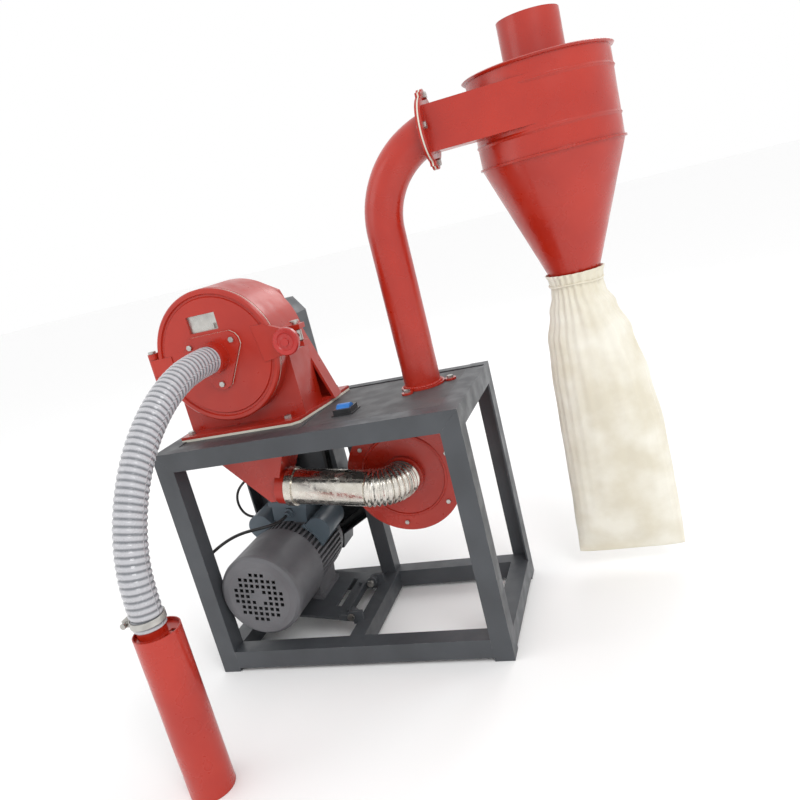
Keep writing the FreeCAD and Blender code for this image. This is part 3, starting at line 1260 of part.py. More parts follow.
def build_bag():
    """The hanging bag: a soft closed form under the cone, with its collar and string."""
    wires = []
    for rise, x, half_x, half_y in BAG_LEVELS:
        centre = Vector(x, cyc_y.value, bag_low.value + rise)
        curve = Part.Ellipse(centre + Vector(half_x, 0, 0), centre + Vector(0, half_y, 0), centre)
        wires.append(Part.Wire(curve.toShape()))
    soft = Part.makeLoft(wires, True, False)
    collar = Part.makeCylinder(cone_r.value + 4.5, 26, Vector(cyc_x.value, cyc_y.value, 632))
    collar = collar.cut(Part.makeCylinder(cone_r.value, 40, Vector(cyc_x.value, cyc_y.value, 638)))
    cone_room = Part.makeCone(cone_r.value + 0.3, 160, 300, Vector(cyc_x.value, cyc_y.value, 655))
    bag = unique("Part::Feature", "collection_bag")
    bag.Shape = soft.fuse(collar).cut(cone_room)
    bag.Placement = Placement(Vector(shift_x.value, shift_y.value, 0), Rotation())
    node("collection_bag", bag)
    node("bag_drawstring", ring("bag_drawstring", cone_r + 6.3, 1.5, (cyc_x, cyc_y, 646)))


# ---------------------------------------------------------------- small pieces
def build_fasteners():
    top = base_top() + flange_t
    heads = [bolt(f"base_bolt_{i}", (x, y, top), "Z", 8, 6, BASE_BOLT_R, 14.5)
             for i, (x, y) in enumerate(BASE_BOLTS)]
    plate_top = frame_h - plate_inset + 4
    heads += [bolt(f"foot_bolt_{i}", (x, y, plate_top), "Z", 7, 5, BASE_BOLT_R, 14)
              for i, (x, y) in enumerate(pipe_bolts())]
    z = duct_z()
    heads += [bolt(f"duct_bolt_{i}", (FLANGE_X + 7, pipe_y + dy, z + dz), "X", 7, 5, BASE_BOLT_R, 14)
              for i, (dy, dz) in enumerate(DUCT_BOLTS)]
    for i, degrees in enumerate(FAN_BOLT_ANGLES):
        x, z = around(fan_x, fan_z, FAN_BOLT_CIRCLE, degrees)
        head = unique("Part::Prism", f"fan_bolt_{i}")
        head.Polygon = 6
        bind(head, "Circumradius", 5)
        bind(head, "Height", 3.5)
        heads.append(place(head, (x, fan_y - COVER_T, z), AXES["-Y"]))
    leg_end = MOTOR_CABLE[-1]
    bed_end = SWITCH_CABLE[-1]
    heads.append(tube("leg_grommet", 8, MOTOR_CABLE_R + fit, 4, leg_end, "Y"))
    heads.append(tube("bed_grommet", 8, SWITCH_CABLE_R + fit, 4, (bed_end[0], bed_end[1], bed_end[2] - 4)))
    pins = []
    for i, (low, high) in enumerate(((EAR_Y[0] - 4, EAR_Y[0] + 26), (EAR_Y[1] - 20, EAR_Y[1] + 10))):
        pins.append(rod(f"plate_pin_{i}", PIVOT_R, high - low, (hinge_x, low, hinge_z), "Y"))
        pins.append(rod(f"plate_pin_head_{i}", 8, 4, (hinge_x, low - 4, hinge_z), "Y"))
    door_pin = rod("door_pin", HINGE_PIN_R, 62, (mill_x - HINGE_OUT, HINGE_Y, mill_z - 31))
    pin_cap = rod("door_pin_cap", 8, 4, (mill_x - HINGE_OUT, HINGE_Y, mill_z + 31))
    heads += [fuse("plate_pin_front", *pins[:2]), fuse("plate_pin_rear", *pins[2:]),
              fuse("door_pin_capped", door_pin, pin_cap)]
    node("frame_fasteners", group("frame_fasteners", *heads))

    # the jack screw under the plate's free edge
    x_local = size(32)
    under_x, under_z = motor_point(x_local, motor_z - FEET_DROP - PLATE_T)
    lean = math.radians(tilt.value)
    ball_r = 8
    ball_x = under_x - (ball_r + 0.05) * math.sin(lean)
    ball_z = under_z - (ball_r + 0.05) * math.cos(lean)
    ball = unique("Part::Sphere", "jack_ball")
    bind(ball, "Radius", ball_r)
    place(ball, (ball_x, 190, ball_z))
    rail_top = rail_low + leg
    stem = rod("jack_stem", 6, ball_z - rail_top, (ball_x, 190, rail_top))
    lock = unique("Part::Prism", "jack_nut")
    lock.Polygon = 6
    bind(lock, "Circumradius", 11)
    bind(lock, "Height", 8)
    place(lock, (ball_x, 190, rail_top))
    node("adjuster_screw", fuse("adjuster_screw", ball, stem, lock))

    deck = frame_h - plate_inset
    base = box("switch_plate", (374, 84, deck), (420, 132, deck + 2))
    frame = box("switch_frame", (378, 88, deck + 2), (416, 128, deck + 12))
    well = box("switch_well", (382, 94, deck + 4), (412, 122, deck + 13))
    node("switch_base", cut("switch_base", fuse("switch_solid", base, frame), well))
    rocker = rod("rocker", 13.4, 28, (383, 108, deck + 5.5), "X")
    rocker_low = box("rocker_room", (380, 90, deck - 20), (420, 126, deck + 7.2))
    node("switch_rocker", cut("switch_rocker", rocker, rocker_low))


def corded(name, points, radius):
    """A free line: straight runs joined by arcs as large as the runs allow."""
    places = [Vector(*p) + Vector(shift_x.value, shift_y.value, 0) for p in points]
    edges = []
    last = places[0]
    for i in range(1, len(places) - 1):
        before = places[i] - places[i - 1]
        after = places[i + 1] - places[i]
        turn = before.getAngle(after)
        reach = 0.45 * min(before.Length, after.Length)
        start = places[i] - before.normalize() * reach
        end = places[i] + after.normalize() * reach
        arc_r = reach / math.tan(turn / 2)
        middle_way = (after - before).normalize()
        middle = places[i] + middle_way * (arc_r / math.cos(turn / 2) - arc_r)
        edges.append(Part.LineSegment(last, start).toShape())
        edges.append(Part.Arc(start, middle, end).toShape())
        print(f"{name}: bend {i} radius {arc_r:.1f} mm")
        last = end
    edges.append(Part.LineSegment(last, places[-1]).toShape())
    path = Part.Wire(edges)
    heading = edges[0].tangentAt(edges[0].FirstParameter)
    section = Part.Wire(Part.makeCircle(radius, places[0], heading))
    solid = path.makePipeShell([section], True, False)
    share = solid.Volume / (math.pi * radius ** 2 * path.Length)
    print(f"{name}: length {path.Length:.1f} mm, volume share {share:.4f}")
    line = unique("Part::Feature", name)
    line.Shape = solid
    node(name, line)


HOSE_ROUTE = ((172, 38.5, 678), (172, -25.5, 678), (170.5, -88.3, 665.5), (167, -147.4, 641),
              (162.8, -200.6, 605.4), (158.4, -245.9, 560.1), (154.2, -281.5, 506.9),
              (150.7, -306, 447.8), (149, -318.5, 385), (149, -318.5, 321))
MOTOR_CABLE_R = 3.5
MOTOR_CABLE = ((152.35, 179.95, 274.26), (152.35, 153, 274.26), (139, 127, 278), (112, 114, 279),
               (81, 108, 277), (54, 102, 271), (33, 89, 264), (20, 68, 258), (20, 40, 258))
SWITCH_CABLE_R = 3
SWITCH_CABLE = ((40.5, 240, 255.63), (23.7, 240, 258.3), (9.1, 240, 268.9), (1.5, 240, 286),
                (1, 240, 307), (11, 240, 329), (32, 240, 347), (58, 240, 361.8), (86, 240, 375),
                (108, 240, 394), (122, 240, 420), (128, 240, 450), (130, 240, 478), (130, 240, 507.5))


def build_lines():
    """The suction hose with its clamp and nozzle, and the two cables."""
    corded("suction_hose", HOSE_ROUTE, hose_r.value)
    corded("motor_cable", MOTOR_CABLE, MOTOR_CABLE_R)
    corded("switch_cable", SWITCH_CABLE, SWITCH_CABLE_R)
    x, y, z = HOSE_ROUTE[-1]
    low = z + 8
    band = rod("clamp_band", hose_r + 2, 11, (x, y, low))
    screw = box("clamp_screw", (x - 40, y - 14, low - 1), (x - 28, y + 6, low + 11))
    head = rod("clamp_head", 5, 8, (x - 34, y - 14, low + 5), "-Y")
    room = rod("clamp_room", hose_r, 20, (x, y, low - 4))
    node("hose_clamp", cut("hose_clamp", fuse("clamp_solid", band, screw, head), room))

    node("nozzle_sleeve", tube("nozzle_sleeve", nozzle_r, nozzle_r - 2, nozzle_h, (nozzle_x, nozzle_y, 0)))
    pipe = tube("nozzle_pipe", nozzle_pipe, nozzle_pipe - 2, z - 70, (x, y, 70))
    disc = rod("nozzle_disc", nozzle_r - 2 - fit, 3, (nozzle_x, nozzle_y, nozzle_h - 9))
    openings = [rod("nozzle_disc_bore", nozzle_pipe - 2, 3, (x, y, nozzle_h - 9))]
    for i in range(2):
        slot_y = nozzle_y - 14 + 18 * i
        openings.append(box(f"nozzle_slot_{i}", (nozzle_x + 20, slot_y, nozzle_h - 10),
                            (nozzle_x + 31, slot_y + 8, nozzle_h - 5)))
    node("nozzle_core", fuse("nozzle_core", pipe, cut("nozzle_cap", disc, *openings)))


def build_all():
    build_frame()
    build_table()
    gaskets = [build_casing()]
    housings = [build_mill_inside()]
    build_rotor()
    build_door()
    build_suction_line()
    housings.append(build_fan())
    node("bearing_housings", group("bearing_housings", *housings))
    build_motor()
    build_drive()
    gaskets.append(build_pipe())
    node("flange_gaskets", group("flange_gaskets", *gaskets))
    build_cyclone()
    build_bag()
    build_fasteners()
    build_lines()


CORD_NODES = ("suction_hose", "hose_clamp", "nozzle_sleeve", "nozzle_core", "motor_cable", "switch_cable")


def check_and_write():
    """Stop on any failed object, then write every sub-part to its own file."""
    doc.recompute()
    for obj in doc.Objects:
        if "Invalid" in obj.State or "Error" in obj.State:
            raise RuntimeError(f"{obj.Name} failed: {obj.State}")
    os.makedirs("parts", exist_ok=True)
    whole = FreeCAD.BoundBox()
    for obj in NODES:
        if obj.Shape.isNull() or not obj.Shape.isValid():
            raise RuntimeError(f"{obj.Label} has no valid shape")
        obj.Shape.exportStep(f"parts/{obj.Label}.step")
        if obj.Label not in CORD_NODES:
            whole.add(obj.Shape.optimalBoundingBox(False))
    print(f"{len(NODES)} sub-parts")
    print(f"x {whole.XMin:.3f} to {whole.XMax:.3f}, y {whole.YMin:.3f} to {whole.YMax:.3f}, "
          f"z {whole.ZMin:.3f} to {whole.ZMax:.3f}")


build_all()
check_and_write()
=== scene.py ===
"""Self-suction hammer mill: its looks, lights and camera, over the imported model.

Lengths are metres in the model's own frame.  Places on the machine are given in millimetres
from the foot of the frame's front left leg, with place().
"""

import json
import math

import bpy
from mathutils import Matrix, Quaternion, Vector


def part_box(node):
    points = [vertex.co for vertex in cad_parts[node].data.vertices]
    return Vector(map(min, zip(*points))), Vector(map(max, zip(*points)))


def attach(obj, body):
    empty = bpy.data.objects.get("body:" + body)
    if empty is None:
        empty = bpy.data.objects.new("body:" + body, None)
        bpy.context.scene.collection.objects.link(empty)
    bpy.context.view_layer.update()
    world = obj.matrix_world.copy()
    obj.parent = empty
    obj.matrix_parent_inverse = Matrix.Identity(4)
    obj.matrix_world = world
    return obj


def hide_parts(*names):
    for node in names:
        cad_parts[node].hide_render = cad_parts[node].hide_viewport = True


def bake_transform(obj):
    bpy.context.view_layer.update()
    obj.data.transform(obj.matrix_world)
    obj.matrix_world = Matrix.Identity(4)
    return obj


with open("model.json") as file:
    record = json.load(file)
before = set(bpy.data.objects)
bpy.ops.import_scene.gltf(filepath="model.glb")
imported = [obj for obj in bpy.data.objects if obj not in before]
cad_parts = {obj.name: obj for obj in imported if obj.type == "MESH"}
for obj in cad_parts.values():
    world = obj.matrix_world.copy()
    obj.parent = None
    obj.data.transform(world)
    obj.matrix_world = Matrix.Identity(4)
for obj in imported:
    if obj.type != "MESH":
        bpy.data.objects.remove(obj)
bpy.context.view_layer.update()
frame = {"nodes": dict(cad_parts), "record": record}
CORNER = Vector(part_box("frame_legs")[0])
MM = 0.001


def place(x, y, z):
    """A point of the machine, from millimetres off the frame's front left foot."""
    return Vector((CORNER.x + x * MM, CORNER.y + y * MM, z * MM))


# ---------------------------------------------------------------- camera, floor and light
CAMERA_PLACE = (981.7, -1198.7, 854.8)
CAMERA_TURN = Vector((1.82697282, 0.0869357, -0.41978107))
CAMERA_LENS = 33.088


def set_camera():
    data = bpy.data.cameras.new("camera")
    data.lens = CAMERA_LENS
    data.sensor_width = 36
    camera = bpy.data.objects.new("camera", data)
    bpy.context.scene.collection.objects.link(camera)
    turn = Quaternion(CAMERA_TURN.normalized(), CAMERA_TURN.length).to_matrix()
    axes = Matrix((turn[0], -turn[1], -turn[2])).transposed()
    camera.matrix_world = Matrix.Translation(place(*CAMERA_PLACE)) @ axes.to_4x4()
    bpy.context.scene.camera = camera
    bpy.context.scene.render.resolution_x = 800
    bpy.context.scene.render.resolution_y = 800


def area_light(name, where, aim, size, power):
    data = bpy.data.lights.new(name, "AREA")
    data.shape = "DISK"
    data.size = size
    data.energy = power
    lamp = bpy.data.objects.new(name, data)
    bpy.context.scene.collection.objects.link(lamp)
    lamp.location = where
    lamp.rotation_euler = (Vector(aim) - Vector(where)).to_track_quat("-Z", "Y").to_euler()


def set_studio():
    bpy.ops.mesh.primitive_plane_add(size=60, location=(0, 0, -0.0005))
    floor = bpy.context.object
    floor.name = "studio_floor"
    material = new_material("floor_white", (0.97, 0.97, 0.97), 0.85)[0]
    floor.data.materials.append(material)
    area_light("key", (1.9, -2.4, 3.0), (0.1, 0, 0.5), 1.6, 36)
    area_light("fill", (-2.6, -1.6, 1.8), (0, 0, 0.5), 2.0, 8)
    area_light("rim", (0.6, 2.6, 2.4), (0, 0, 0.6), 1.6, 16)
    world = bpy.data.worlds.new("studio_world")
    bpy.context.scene.world = world
    world.use_nodes = True
    sky = world.node_tree.nodes["Background"]
    sky.inputs[0].default_value = (1, 1, 1, 1)
    sky.inputs[1].default_value = 1.0
    bpy.context.scene.view_settings.view_transform = "Standard"


# ---------------------------------------------------------------- materials
def new_material(name, color, roughness, metallic=0.0):
    material = bpy.data.materials.new(name)
    material.use_nodes = True
    nodes = material.node_tree.nodes
    links = material.node_tree.links
    shader = nodes["Principled BSDF"]
    shader.inputs["Base Color"].default_value = (*color, 1)
    shader.inputs["Roughness"].default_value = roughness
    shader.inputs["Metallic"].default_value = metallic
    return material, nodes, links, shader


def noise(nodes, links, scale, detail=4):
    """A noise texture in the object's own coordinates."""
    coords = nodes.new("ShaderNodeTexCoord")
    texture = nodes.new("ShaderNodeTexNoise")
    texture.inputs["Scale"].default_value = scale
    texture.inputs["Detail"].default_value = detail
    links.new(coords.outputs["Object"], texture.inputs["Vector"])
    return texture.outputs["Fac"]


def spread(nodes, links, source, low, high, start=0.35, end=0.65):
    """A value stretched to run from low to high."""
    stretch = nodes.new("ShaderNodeMapRange")
    stretch.inputs["From Min"].default_value = start
    stretch.inputs["From Max"].default_value = end
    stretch.inputs["To Min"].default_value = low
    stretch.inputs["To Max"].default_value = high
    links.new(source, stretch.inputs["Value"])
    return stretch.outputs["Result"]


def mixed(nodes, links, amount, first, second):
    """Two colours mixed by an amount."""
    mix = nodes.new("ShaderNodeMix")
    mix.data_type = "RGBA"
    links.new(amount, mix.inputs["Factor"])
    for socket, value in ((mix.inputs["A"], first), (mix.inputs["B"], second)):
        if isinstance(value, tuple):
            socket.default_value = (*value, 1)
        else:
            links.new(value, socket)
    return mix.outputs["Result"]


def edge_mask(nodes, links, radius):
    """1 on sharp edges, 0 on flats."""
    soft = nodes.new("ShaderNodeBevel")
    soft.inputs["Radius"].default_value = radius
    soft.samples = 4
    geometry = nodes.new("ShaderNodeNewGeometry")
    dot = nodes.new("ShaderNodeVectorMath")
    dot.operation = "DOT_PRODUCT"
    links.new(soft.outputs["Normal"], dot.inputs[0])
    links.new(geometry.outputs["Normal"], dot.inputs[1])
    return spread(nodes, links, dot.outputs["Value"], 1, 0, 0.80, 0.985), soft.outputs["Normal"]


def bump(nodes, links, shader, height, strength, distance, normal=None):
    node = nodes.new("ShaderNodeBump")
    node.inputs["Strength"].default_value = strength
    node.inputs["Distance"].default_value = distance
    links.new(height, node.inputs["Height"])
    if normal is not None:
        links.new(normal, node.inputs["Normal"])
    links.new(node.outputs["Normal"], shader.inputs["Normal"])


def paint(name, color, dark, roughness, texture=380, depth=0.0002, wear=None, coat=0.0):
    """Sprayed paint: slight orange peel, dusty variation, thin worn edges."""
    material, nodes, links, shader = new_material(name, color, roughness)
    broad = spread(nodes, links, noise(nodes, links, 9), 0, 1)
    shade = mixed(nodes, links, broad, dark, color)
    edges, rounded = edge_mask(nodes, links, 0.0012)
    if wear:
        chips = nodes.new("ShaderNodeMath")
        chips.operation = "MULTIPLY"
        links.new(edges, chips.inputs[0])
        links.new(spread(nodes, links, noise(nodes, links, 60), 0, 0.8, 0.52, 0.66), chips.inputs[1])
        shade = mixed(nodes, links, chips.outputs[0], shade, wear)
    links.new(shade, shader.inputs["Base Color"])
    links.new(spread(nodes, links, noise(nodes, links, 26), roughness - 0.07, roughness + 0.12),
              shader.inputs["Roughness"])
    shader.inputs["Coat Weight"].default_value = coat
    shader.inputs["Coat Roughness"].default_value = 0.16
    bump(nodes, links, shader, noise(nodes, links, texture, 2), 0.22, depth, rounded)
    return material


def metal(name, color, roughness, scratch=240, dark=None):
    """Bare or plated metal with fine scratches and stains."""
    material, nodes, links, shader = new_material(name, color, roughness, metallic=1.0)
    stains = spread(nodes, links, noise(nodes, links, 34), 0, 1)
    shade = mixed(nodes, links, stains, dark or tuple(0.72 * c for c in color), color)
    links.new(shade, shader.inputs["Base Color"])
    links.new(spread(nodes, links, noise(nodes, links, 90), roughness - 0.1, roughness + 0.14),
              shader.inputs["Roughness"])
    rounded = edge_mask(nodes, links, 0.0008)[1]
    bump(nodes, links, shader, noise(nodes, links, scratch, 6), 0.16, 0.0002, rounded)
    return material


def soft_plastic(name, color, roughness, texture=600):
    """Rubber or plastic with a fine grain."""
    material, nodes, links, shader = new_material(name, color, roughness)
    dust = spread(nodes, links, noise(nodes, links, 40), 0, 0.5)
    shade = mixed(nodes, links, dust, color, tuple(min(1, 1.5 * c + 0.015) for c in color))
    links.new(shade, shader.inputs["Base Color"])
    bump(nodes, links, shader, noise(nodes, links, texture, 3), 0.2, 0.0002)
    return material


def cotton(name):
    """Unbleached cotton: a woven grain over soft shading."""
    material, nodes, links, shader = new_material(name, (0.80, 0.76, 0.64), 0.95)
    coords = nodes.new("ShaderNodeTexCoord")
    weave = []
    for direction in ("X", "Y"):
        wave = nodes.new("ShaderNodeTexWave")
        wave.bands_direction = direction
        wave.inputs["Scale"].default_value = 95
        wave.inputs["Distortion"].default_value = 1.2
        wave.inputs["Detail"].default_value = 1
        links.new(coords.outputs["UV"], wave.inputs["Vector"])
        weave.append(wave.outputs["Fac"])
    threads = nodes.new("ShaderNodeMath")
    threads.operation = "MULTIPLY"
    links.new(weave[0], threads.inputs[0])
    links.new(weave[1], threads.inputs[1])
    patches = spread(nodes, links, noise(nodes, links, 14), 0, 1)
    shade = mixed(nodes, links, patches, (0.74, 0.69, 0.56), (0.86, 0.83, 0.73))
    links.new(shade, shader.inputs["Base Color"])
    shader.inputs["Sheen Weight"].default_value = 0.3
    bump(nodes, links, shader, threads.outputs[0], 0.35, 0.0006)
    return material


def hose_skin(name):
    """Clear ribbed plastic over a steel coil, seen as grey bands on the ribs, with painted shade
    darkening the grooves between them, and one red line.
    """
    material, nodes, links, shader = new_material(name, (0.6, 0.6, 0.62), 0.22)
    coords = nodes.new("ShaderNodeTexCoord")
    split = nodes.new("ShaderNodeSeparateXYZ")
    links.new(coords.outputs["UV"], split.inputs["Vector"])
    wave = nodes.new("ShaderNodeMath")
    wave.operation = "FRACT"
    links.new(split.outputs["Y"], wave.inputs[0])
    band = nodes.new("ShaderNodeMath")
    band.operation = "PINGPONG"
    band.inputs[1].default_value = 0.5
    links.new(wave.outputs[0], band.inputs[0])
    # painted shade: this mask is 0 on the rib crests, where the coil shows light grey, and 1 in the
    # grooves, which are painted dark
    coil_and_groove_shade = spread(nodes, links, band.outputs[0], 0, 1, 0.2, 0.42)
    shade = mixed(nodes, links, coil_and_groove_shade, (0.56, 0.56, 0.59), (0.20, 0.21, 0.23))
    line = nodes.new("ShaderNodeMath")
    line.operation = "COMPARE"
    line.inputs[1].default_value = 0.42
    line.inputs[2].default_value = 0.012
    links.new(split.outputs["X"], line.inputs[0])
    shade = mixed(nodes, links, line.outputs[0], shade, (0.62, 0.12, 0.10))
    links.new(shade, shader.inputs["Base Color"])
    shader.inputs["Transmission Weight"].default_value = 0.18
    shader.inputs["Coat Weight"].default_value = 0.5
    links.new(spread(nodes, links, noise(nodes, links, 50), 0.16, 0.36), shader.inputs["Roughness"])
    bump(nodes, links, shader, noise(nodes, links, 120, 3), 0.12, 0.0004)
    return material


RED = (0.44, 0.021, 0.007)
DARK_RED = (0.38, 0.015, 0.005)


def make_materials():
    grey_wear = (0.30, 0.30, 0.31)
    return {
        "frame_paint": paint("frame_grey", (0.062, 0.068, 0.076), (0.048, 0.052, 0.058), 0.42,
                             wear=grey_wear),
        "table_paint": paint("table_grey", (0.085, 0.088, 0.092), (0.06, 0.062, 0.066), 0.5,
                             wear=grey_wear),
        "mill_paint": paint("cast_red", RED, DARK_RED, 0.34, texture=150, depth=0.0006,
                            wear=(0.25, 0.06, 0.05), coat=0.15),
        "red_paint": paint("sheet_red", RED, DARK_RED, 0.28, wear=(0.25, 0.06, 0.05), coat=0.2),
        "steel": metal("zinc_steel", (0.56, 0.55, 0.52), 0.34),
        "stainless": metal("stainless", (0.74, 0.71, 0.65), 0.2, scratch=500, dark=(0.64, 0.6, 0.53)),
        "cast_housings": paint("cast_grey", (0.08, 0.08, 0.085), (0.05, 0.05, 0.055), 0.6, texture=120,
                               depth=0.0008),
        "pulley_iron": metal("pulley_iron", (0.22, 0.22, 0.23), 0.5, scratch=160),
        "gasket_card": paint("gasket_card", (0.74, 0.72, 0.64), (0.66, 0.63, 0.54), 0.9),
        "belt_rubber": soft_plastic("belt_rubber", (0.016, 0.016, 0.016), 0.75),
        "motor_paint": paint("motor_grey", (0.135, 0.135, 0.145), (0.10, 0.10, 0.108), 0.44,
                             texture=220, depth=0.0004, wear=grey_wear),
        "motor_box_paint": paint("box_blue_grey", (0.115, 0.15, 0.18), (0.09, 0.118, 0.14), 0.42),
        "cooling_fan_plastic": soft_plastic("fan_plastic", (0.04, 0.04, 0.04), 0.6),
        "wheel_plastic": paint("wheel_red", (0.46, 0.014, 0.010), (0.36, 0.010, 0.008), 0.3, coat=0.4),
        "switch_black": soft_plastic("switch_black", (0.02, 0.02, 0.022), 0.35),
        "switch_blue": soft_plastic("switch_blue", (0.02, 0.16, 0.5), 0.3),
        "cable_rubber": soft_plastic("cable_rubber", (0.012, 0.012, 0.013), 0.5),
        "hose_plastic": hose_skin("hose_skin"),
        "bag_cotton": cotton("bag_cotton"),
    }


SAME_LOOK = {"pipe_paint": "red_paint", "cyclone_paint": "red_paint", "nozzle_paint": "red_paint",
             "fan_wheel_paint": "cast_housings"}


def dress_nodes(looks):
    """Give every shown CAD node the material of its slot."""
    for entry in frame["record"]["subparts"]:
        slot = entry["material_slot"]
        material = looks[SAME_LOOK.get(slot, slot)]
        for holder in frame["nodes"][entry["node"]].material_slots:
            holder.link = "OBJECT"
            holder.material = material


# ---------------------------------------------------------------- mesh helpers
def mesh_object(name, points, faces, material, body="frame", uvs=None):
    mesh = bpy.data.meshes.new(name)
    mesh.from_pydata([tuple(p) for p in points], [], faces)
    if uvs:
        layer = mesh.uv_layers.new(name="UVMap")
        for loop in mesh.loops:
            layer.data[loop.index].uv = uvs[loop.vertex_index]
    for face in mesh.polygons:
        face.use_smooth = True
    mesh.materials.append(material)
    thing = bpy.data.objects.new(name, mesh)
    bpy.context.scene.collection.objects.link(thing)
    if body:
        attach(thing, body)
    return thing


def skin(rings):
    """Faces between closed rings of equal point count."""
    count = len(rings[0])
    faces = []
    for i in range(len(rings) - 1):
        for j in range(count):
            k = (j + 1) % count
            faces.append((i * count + j, i * count + k, (i + 1) * count + k, (i + 1) * count + j))
    return faces


def line_points(curve):
    """Points along a curve's own NURBS line, as the evaluated curve gives them."""
    graph = bpy.context.evaluated_depsgraph_get()
    mesh = bpy.data.meshes.new_from_object(curve.evaluated_get(graph), depsgraph=graph)
    points = [v.co.copy() for v in mesh.vertices]
    bpy.data.meshes.remove(mesh)
    return points


def resampled(points, step):
    """The same line with points a step apart."""
    result = [points[0]]
    left = step
    for a, b in zip(points, points[1:]):
        span = (b - a).length
        done = 0.0
        while span - done >= left:
            done += left
            result.append(a.lerp(b, done / span))
            left = step
        left -= span - done
    result.append(points[-1])
    return result


def frames_along(points):
    """(point, side, up) with no twist, along a line."""
    result = []
    side = None
    for i, point in enumerate(points):
        ahead = points[min(i + 1, len(points) - 1)] - points[max(i - 1, 0)]
        ahead.normalize()
        if side is None:
            side = Vector((1, 0, 0))
        side = (side - ahead * side.dot(ahead)).normalized()
        result.append((point, side, ahead.cross(side)))
    return result


def route_curve(name, route):
    data = bpy.data.curves.new(name, "CURVE")
    data.dimensions = "3D"
    data.resolution_u = 24
    spline = data.splines.new("NURBS")
    spline.points.add(len(route) - 1)
    for point, where in zip(spline.points, route):
        point.co = (*place(*where), 1)
    spline.order_u = 3
    spline.use_endpoint_u = True
    thing = bpy.data.objects.new(name, data)
    bpy.context.scene.collection.objects.link(thing)
    return thing


# ---------------------------------------------------------------- hose and cables
HOSE_ROUTE = ((172, 38.5, 678), (172, -25.5, 678), (170.5, -88.3, 665.5), (167, -147.4, 641),
              (162.8, -200.6, 605.4), (158.4, -245.9, 560.1), (154.2, -281.5, 506.9),
              (150.7, -306, 447.8), (149, -318.5, 385), (149, -318.5, 321))
MOTOR_CABLE = ((152.35, 179.95, 274.26), (152.35, 153, 274.26), (139, 127, 278), (112, 114, 279),
               (81, 108, 277), (54, 102, 271), (33, 89, 264), (20, 68, 258), (20, 40, 258))
SWITCH_CABLE = ((40.5, 240, 255.63), (23.7, 240, 258.3), (9.1, 240, 268.9), (1.5, 240, 286),
                (1, 240, 307), (11, 240, 329), (32, 240, 347), (58, 240, 361.8), (86, 240, 375),
                (108, 240, 394), (122, 240, 420), (128, 240, 450), (130, 240, 478), (130, 240, 507.5))
HOSE_RADIUS = 0.028
HOSE_PITCH = 0.0115
HOSE_RIB = 0.0022
HOSE_SIDES = 64
CABLE_SIDES = 20
CABLE_STEP = 0.002
MOTOR_CABLE_RADIUS = 0.0035
SWITCH_CABLE_RADIUS = 0.003


def make_hose(looks):
    """A ribbed tube that follows the route, its ribs wound as one spiral."""
    guide = route_curve("hose_guide", HOSE_ROUTE)
    centre = line_points(guide)
    bpy.data.objects.remove(guide)
    fine = resampled(centre, HOSE_PITCH / 8)
    points = []
    uvs = []
    rings = []
    travelled = 0.0
    last = fine[0]
    for where, side, up in frames_along(fine):
        travelled += (where - last).length
        last = where
        ring = []
        for j in range(HOSE_SIDES):
            turn = 2 * math.pi * j / HOSE_SIDES
            phase = travelled / HOSE_PITCH + j / HOSE_SIDES
            rib = 0.5 + 0.5 * math.cos(2 * math.pi * phase)
            radius = HOSE_RADIUS - HOSE_RIB + HOSE_RIB * rib ** 0.6
            ring.append(where + (side * math.cos(turn) + up * math.sin(turn)) * radius)
            uvs.append((j / HOSE_SIDES, phase))
        rings.append(ring)
        points += ring
    hose = mesh_object("hose_ribbed", points, skin(rings), looks["hose_plastic"],
                       "mill_door", uvs)
    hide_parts("suction_hose")


def make_cable(name, node, route, radius, looks):
    """A round rubber cable along its route."""
    guide = route_curve(name + "_guide", route)
    centre = line_points(guide)
    bpy.data.objects.remove(guide)
    rings = []
    for where, side, up in frames_along(resampled(centre, CABLE_STEP)):
        ring = []
        for j in range(CABLE_SIDES):
            turn = 2 * math.pi * j / CABLE_SIDES
            ring.append(where + (side * math.cos(turn) + up * math.sin(turn)) * radius)
        rings.append(ring)
    points = [p for ring in rings for p in ring]
    last = len(points) - CABLE_SIDES
    ends = [tuple(reversed(range(CABLE_SIDES))), tuple(range(last, last + CABLE_SIDES))]
    faces = skin(rings) + ends
    cable = mesh_object(name, points, faces, looks["cable_rubber"], body=None)
    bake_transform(cable)
    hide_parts(node)


# ---------------------------------------------------------------- corrugated elbow
ELBOW_SLOPE = 8.8
ELBOW_BEND = 0.057
ELBOW_END = (457, 164, 337)
ELBOW_VALLEY = 0.0363
ELBOW_FOLD = 0.0034
ELBOW_SHEET = 0.0008
ELBOW_FOLDS = 11
ELBOW_SIDES = 72


def make_elbow(looks):
    """Crimped stainless tube: deep folds round a quarter bend."""
    slope = math.radians(ELBOW_SLOPE)
    along = Vector((math.cos(slope), 0, -math.sin(slope)))
    back = Vector((0, 1, 0))
    start = place(*ELBOW_END) - along * ELBOW_BEND - back * ELBOW_BEND
    centre = start + back * ELBOW_BEND
    third = along.cross(back)
    steps = ELBOW_FOLDS * 12
    rings = []
    for shell in (0, 1):
        sweep = range(steps + 1) if shell == 0 else range(steps, -1, -1)
        for i in sweep:
            turn = math.pi / 2 * i / steps
            radial = -back * math.cos(turn) + along * math.sin(turn)
            wave = 0.5 - 0.5 * math.cos(2 * math.pi * ELBOW_FOLDS * i / steps)
            radius = ELBOW_VALLEY + ELBOW_FOLD * wave ** 0.75 - shell * ELBOW_SHEET
            where = centre + radial * ELBOW_BEND
            ring = []
            for j in range(ELBOW_SIDES):
                spin = 2 * math.pi * j / ELBOW_SIDES
                dent = 1 + 0.003 * math.sin(2 * spin + 5 * turn)
                ring.append(where + (radial * math.cos(spin) + third * math.sin(spin)) * radius * dent)
            rings.append(ring)
    points = [p for ring in rings for p in ring]
    elbow = mesh_object("elbow_folds", points, skin(rings), looks["stainless"])
    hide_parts("corrugated_elbow")


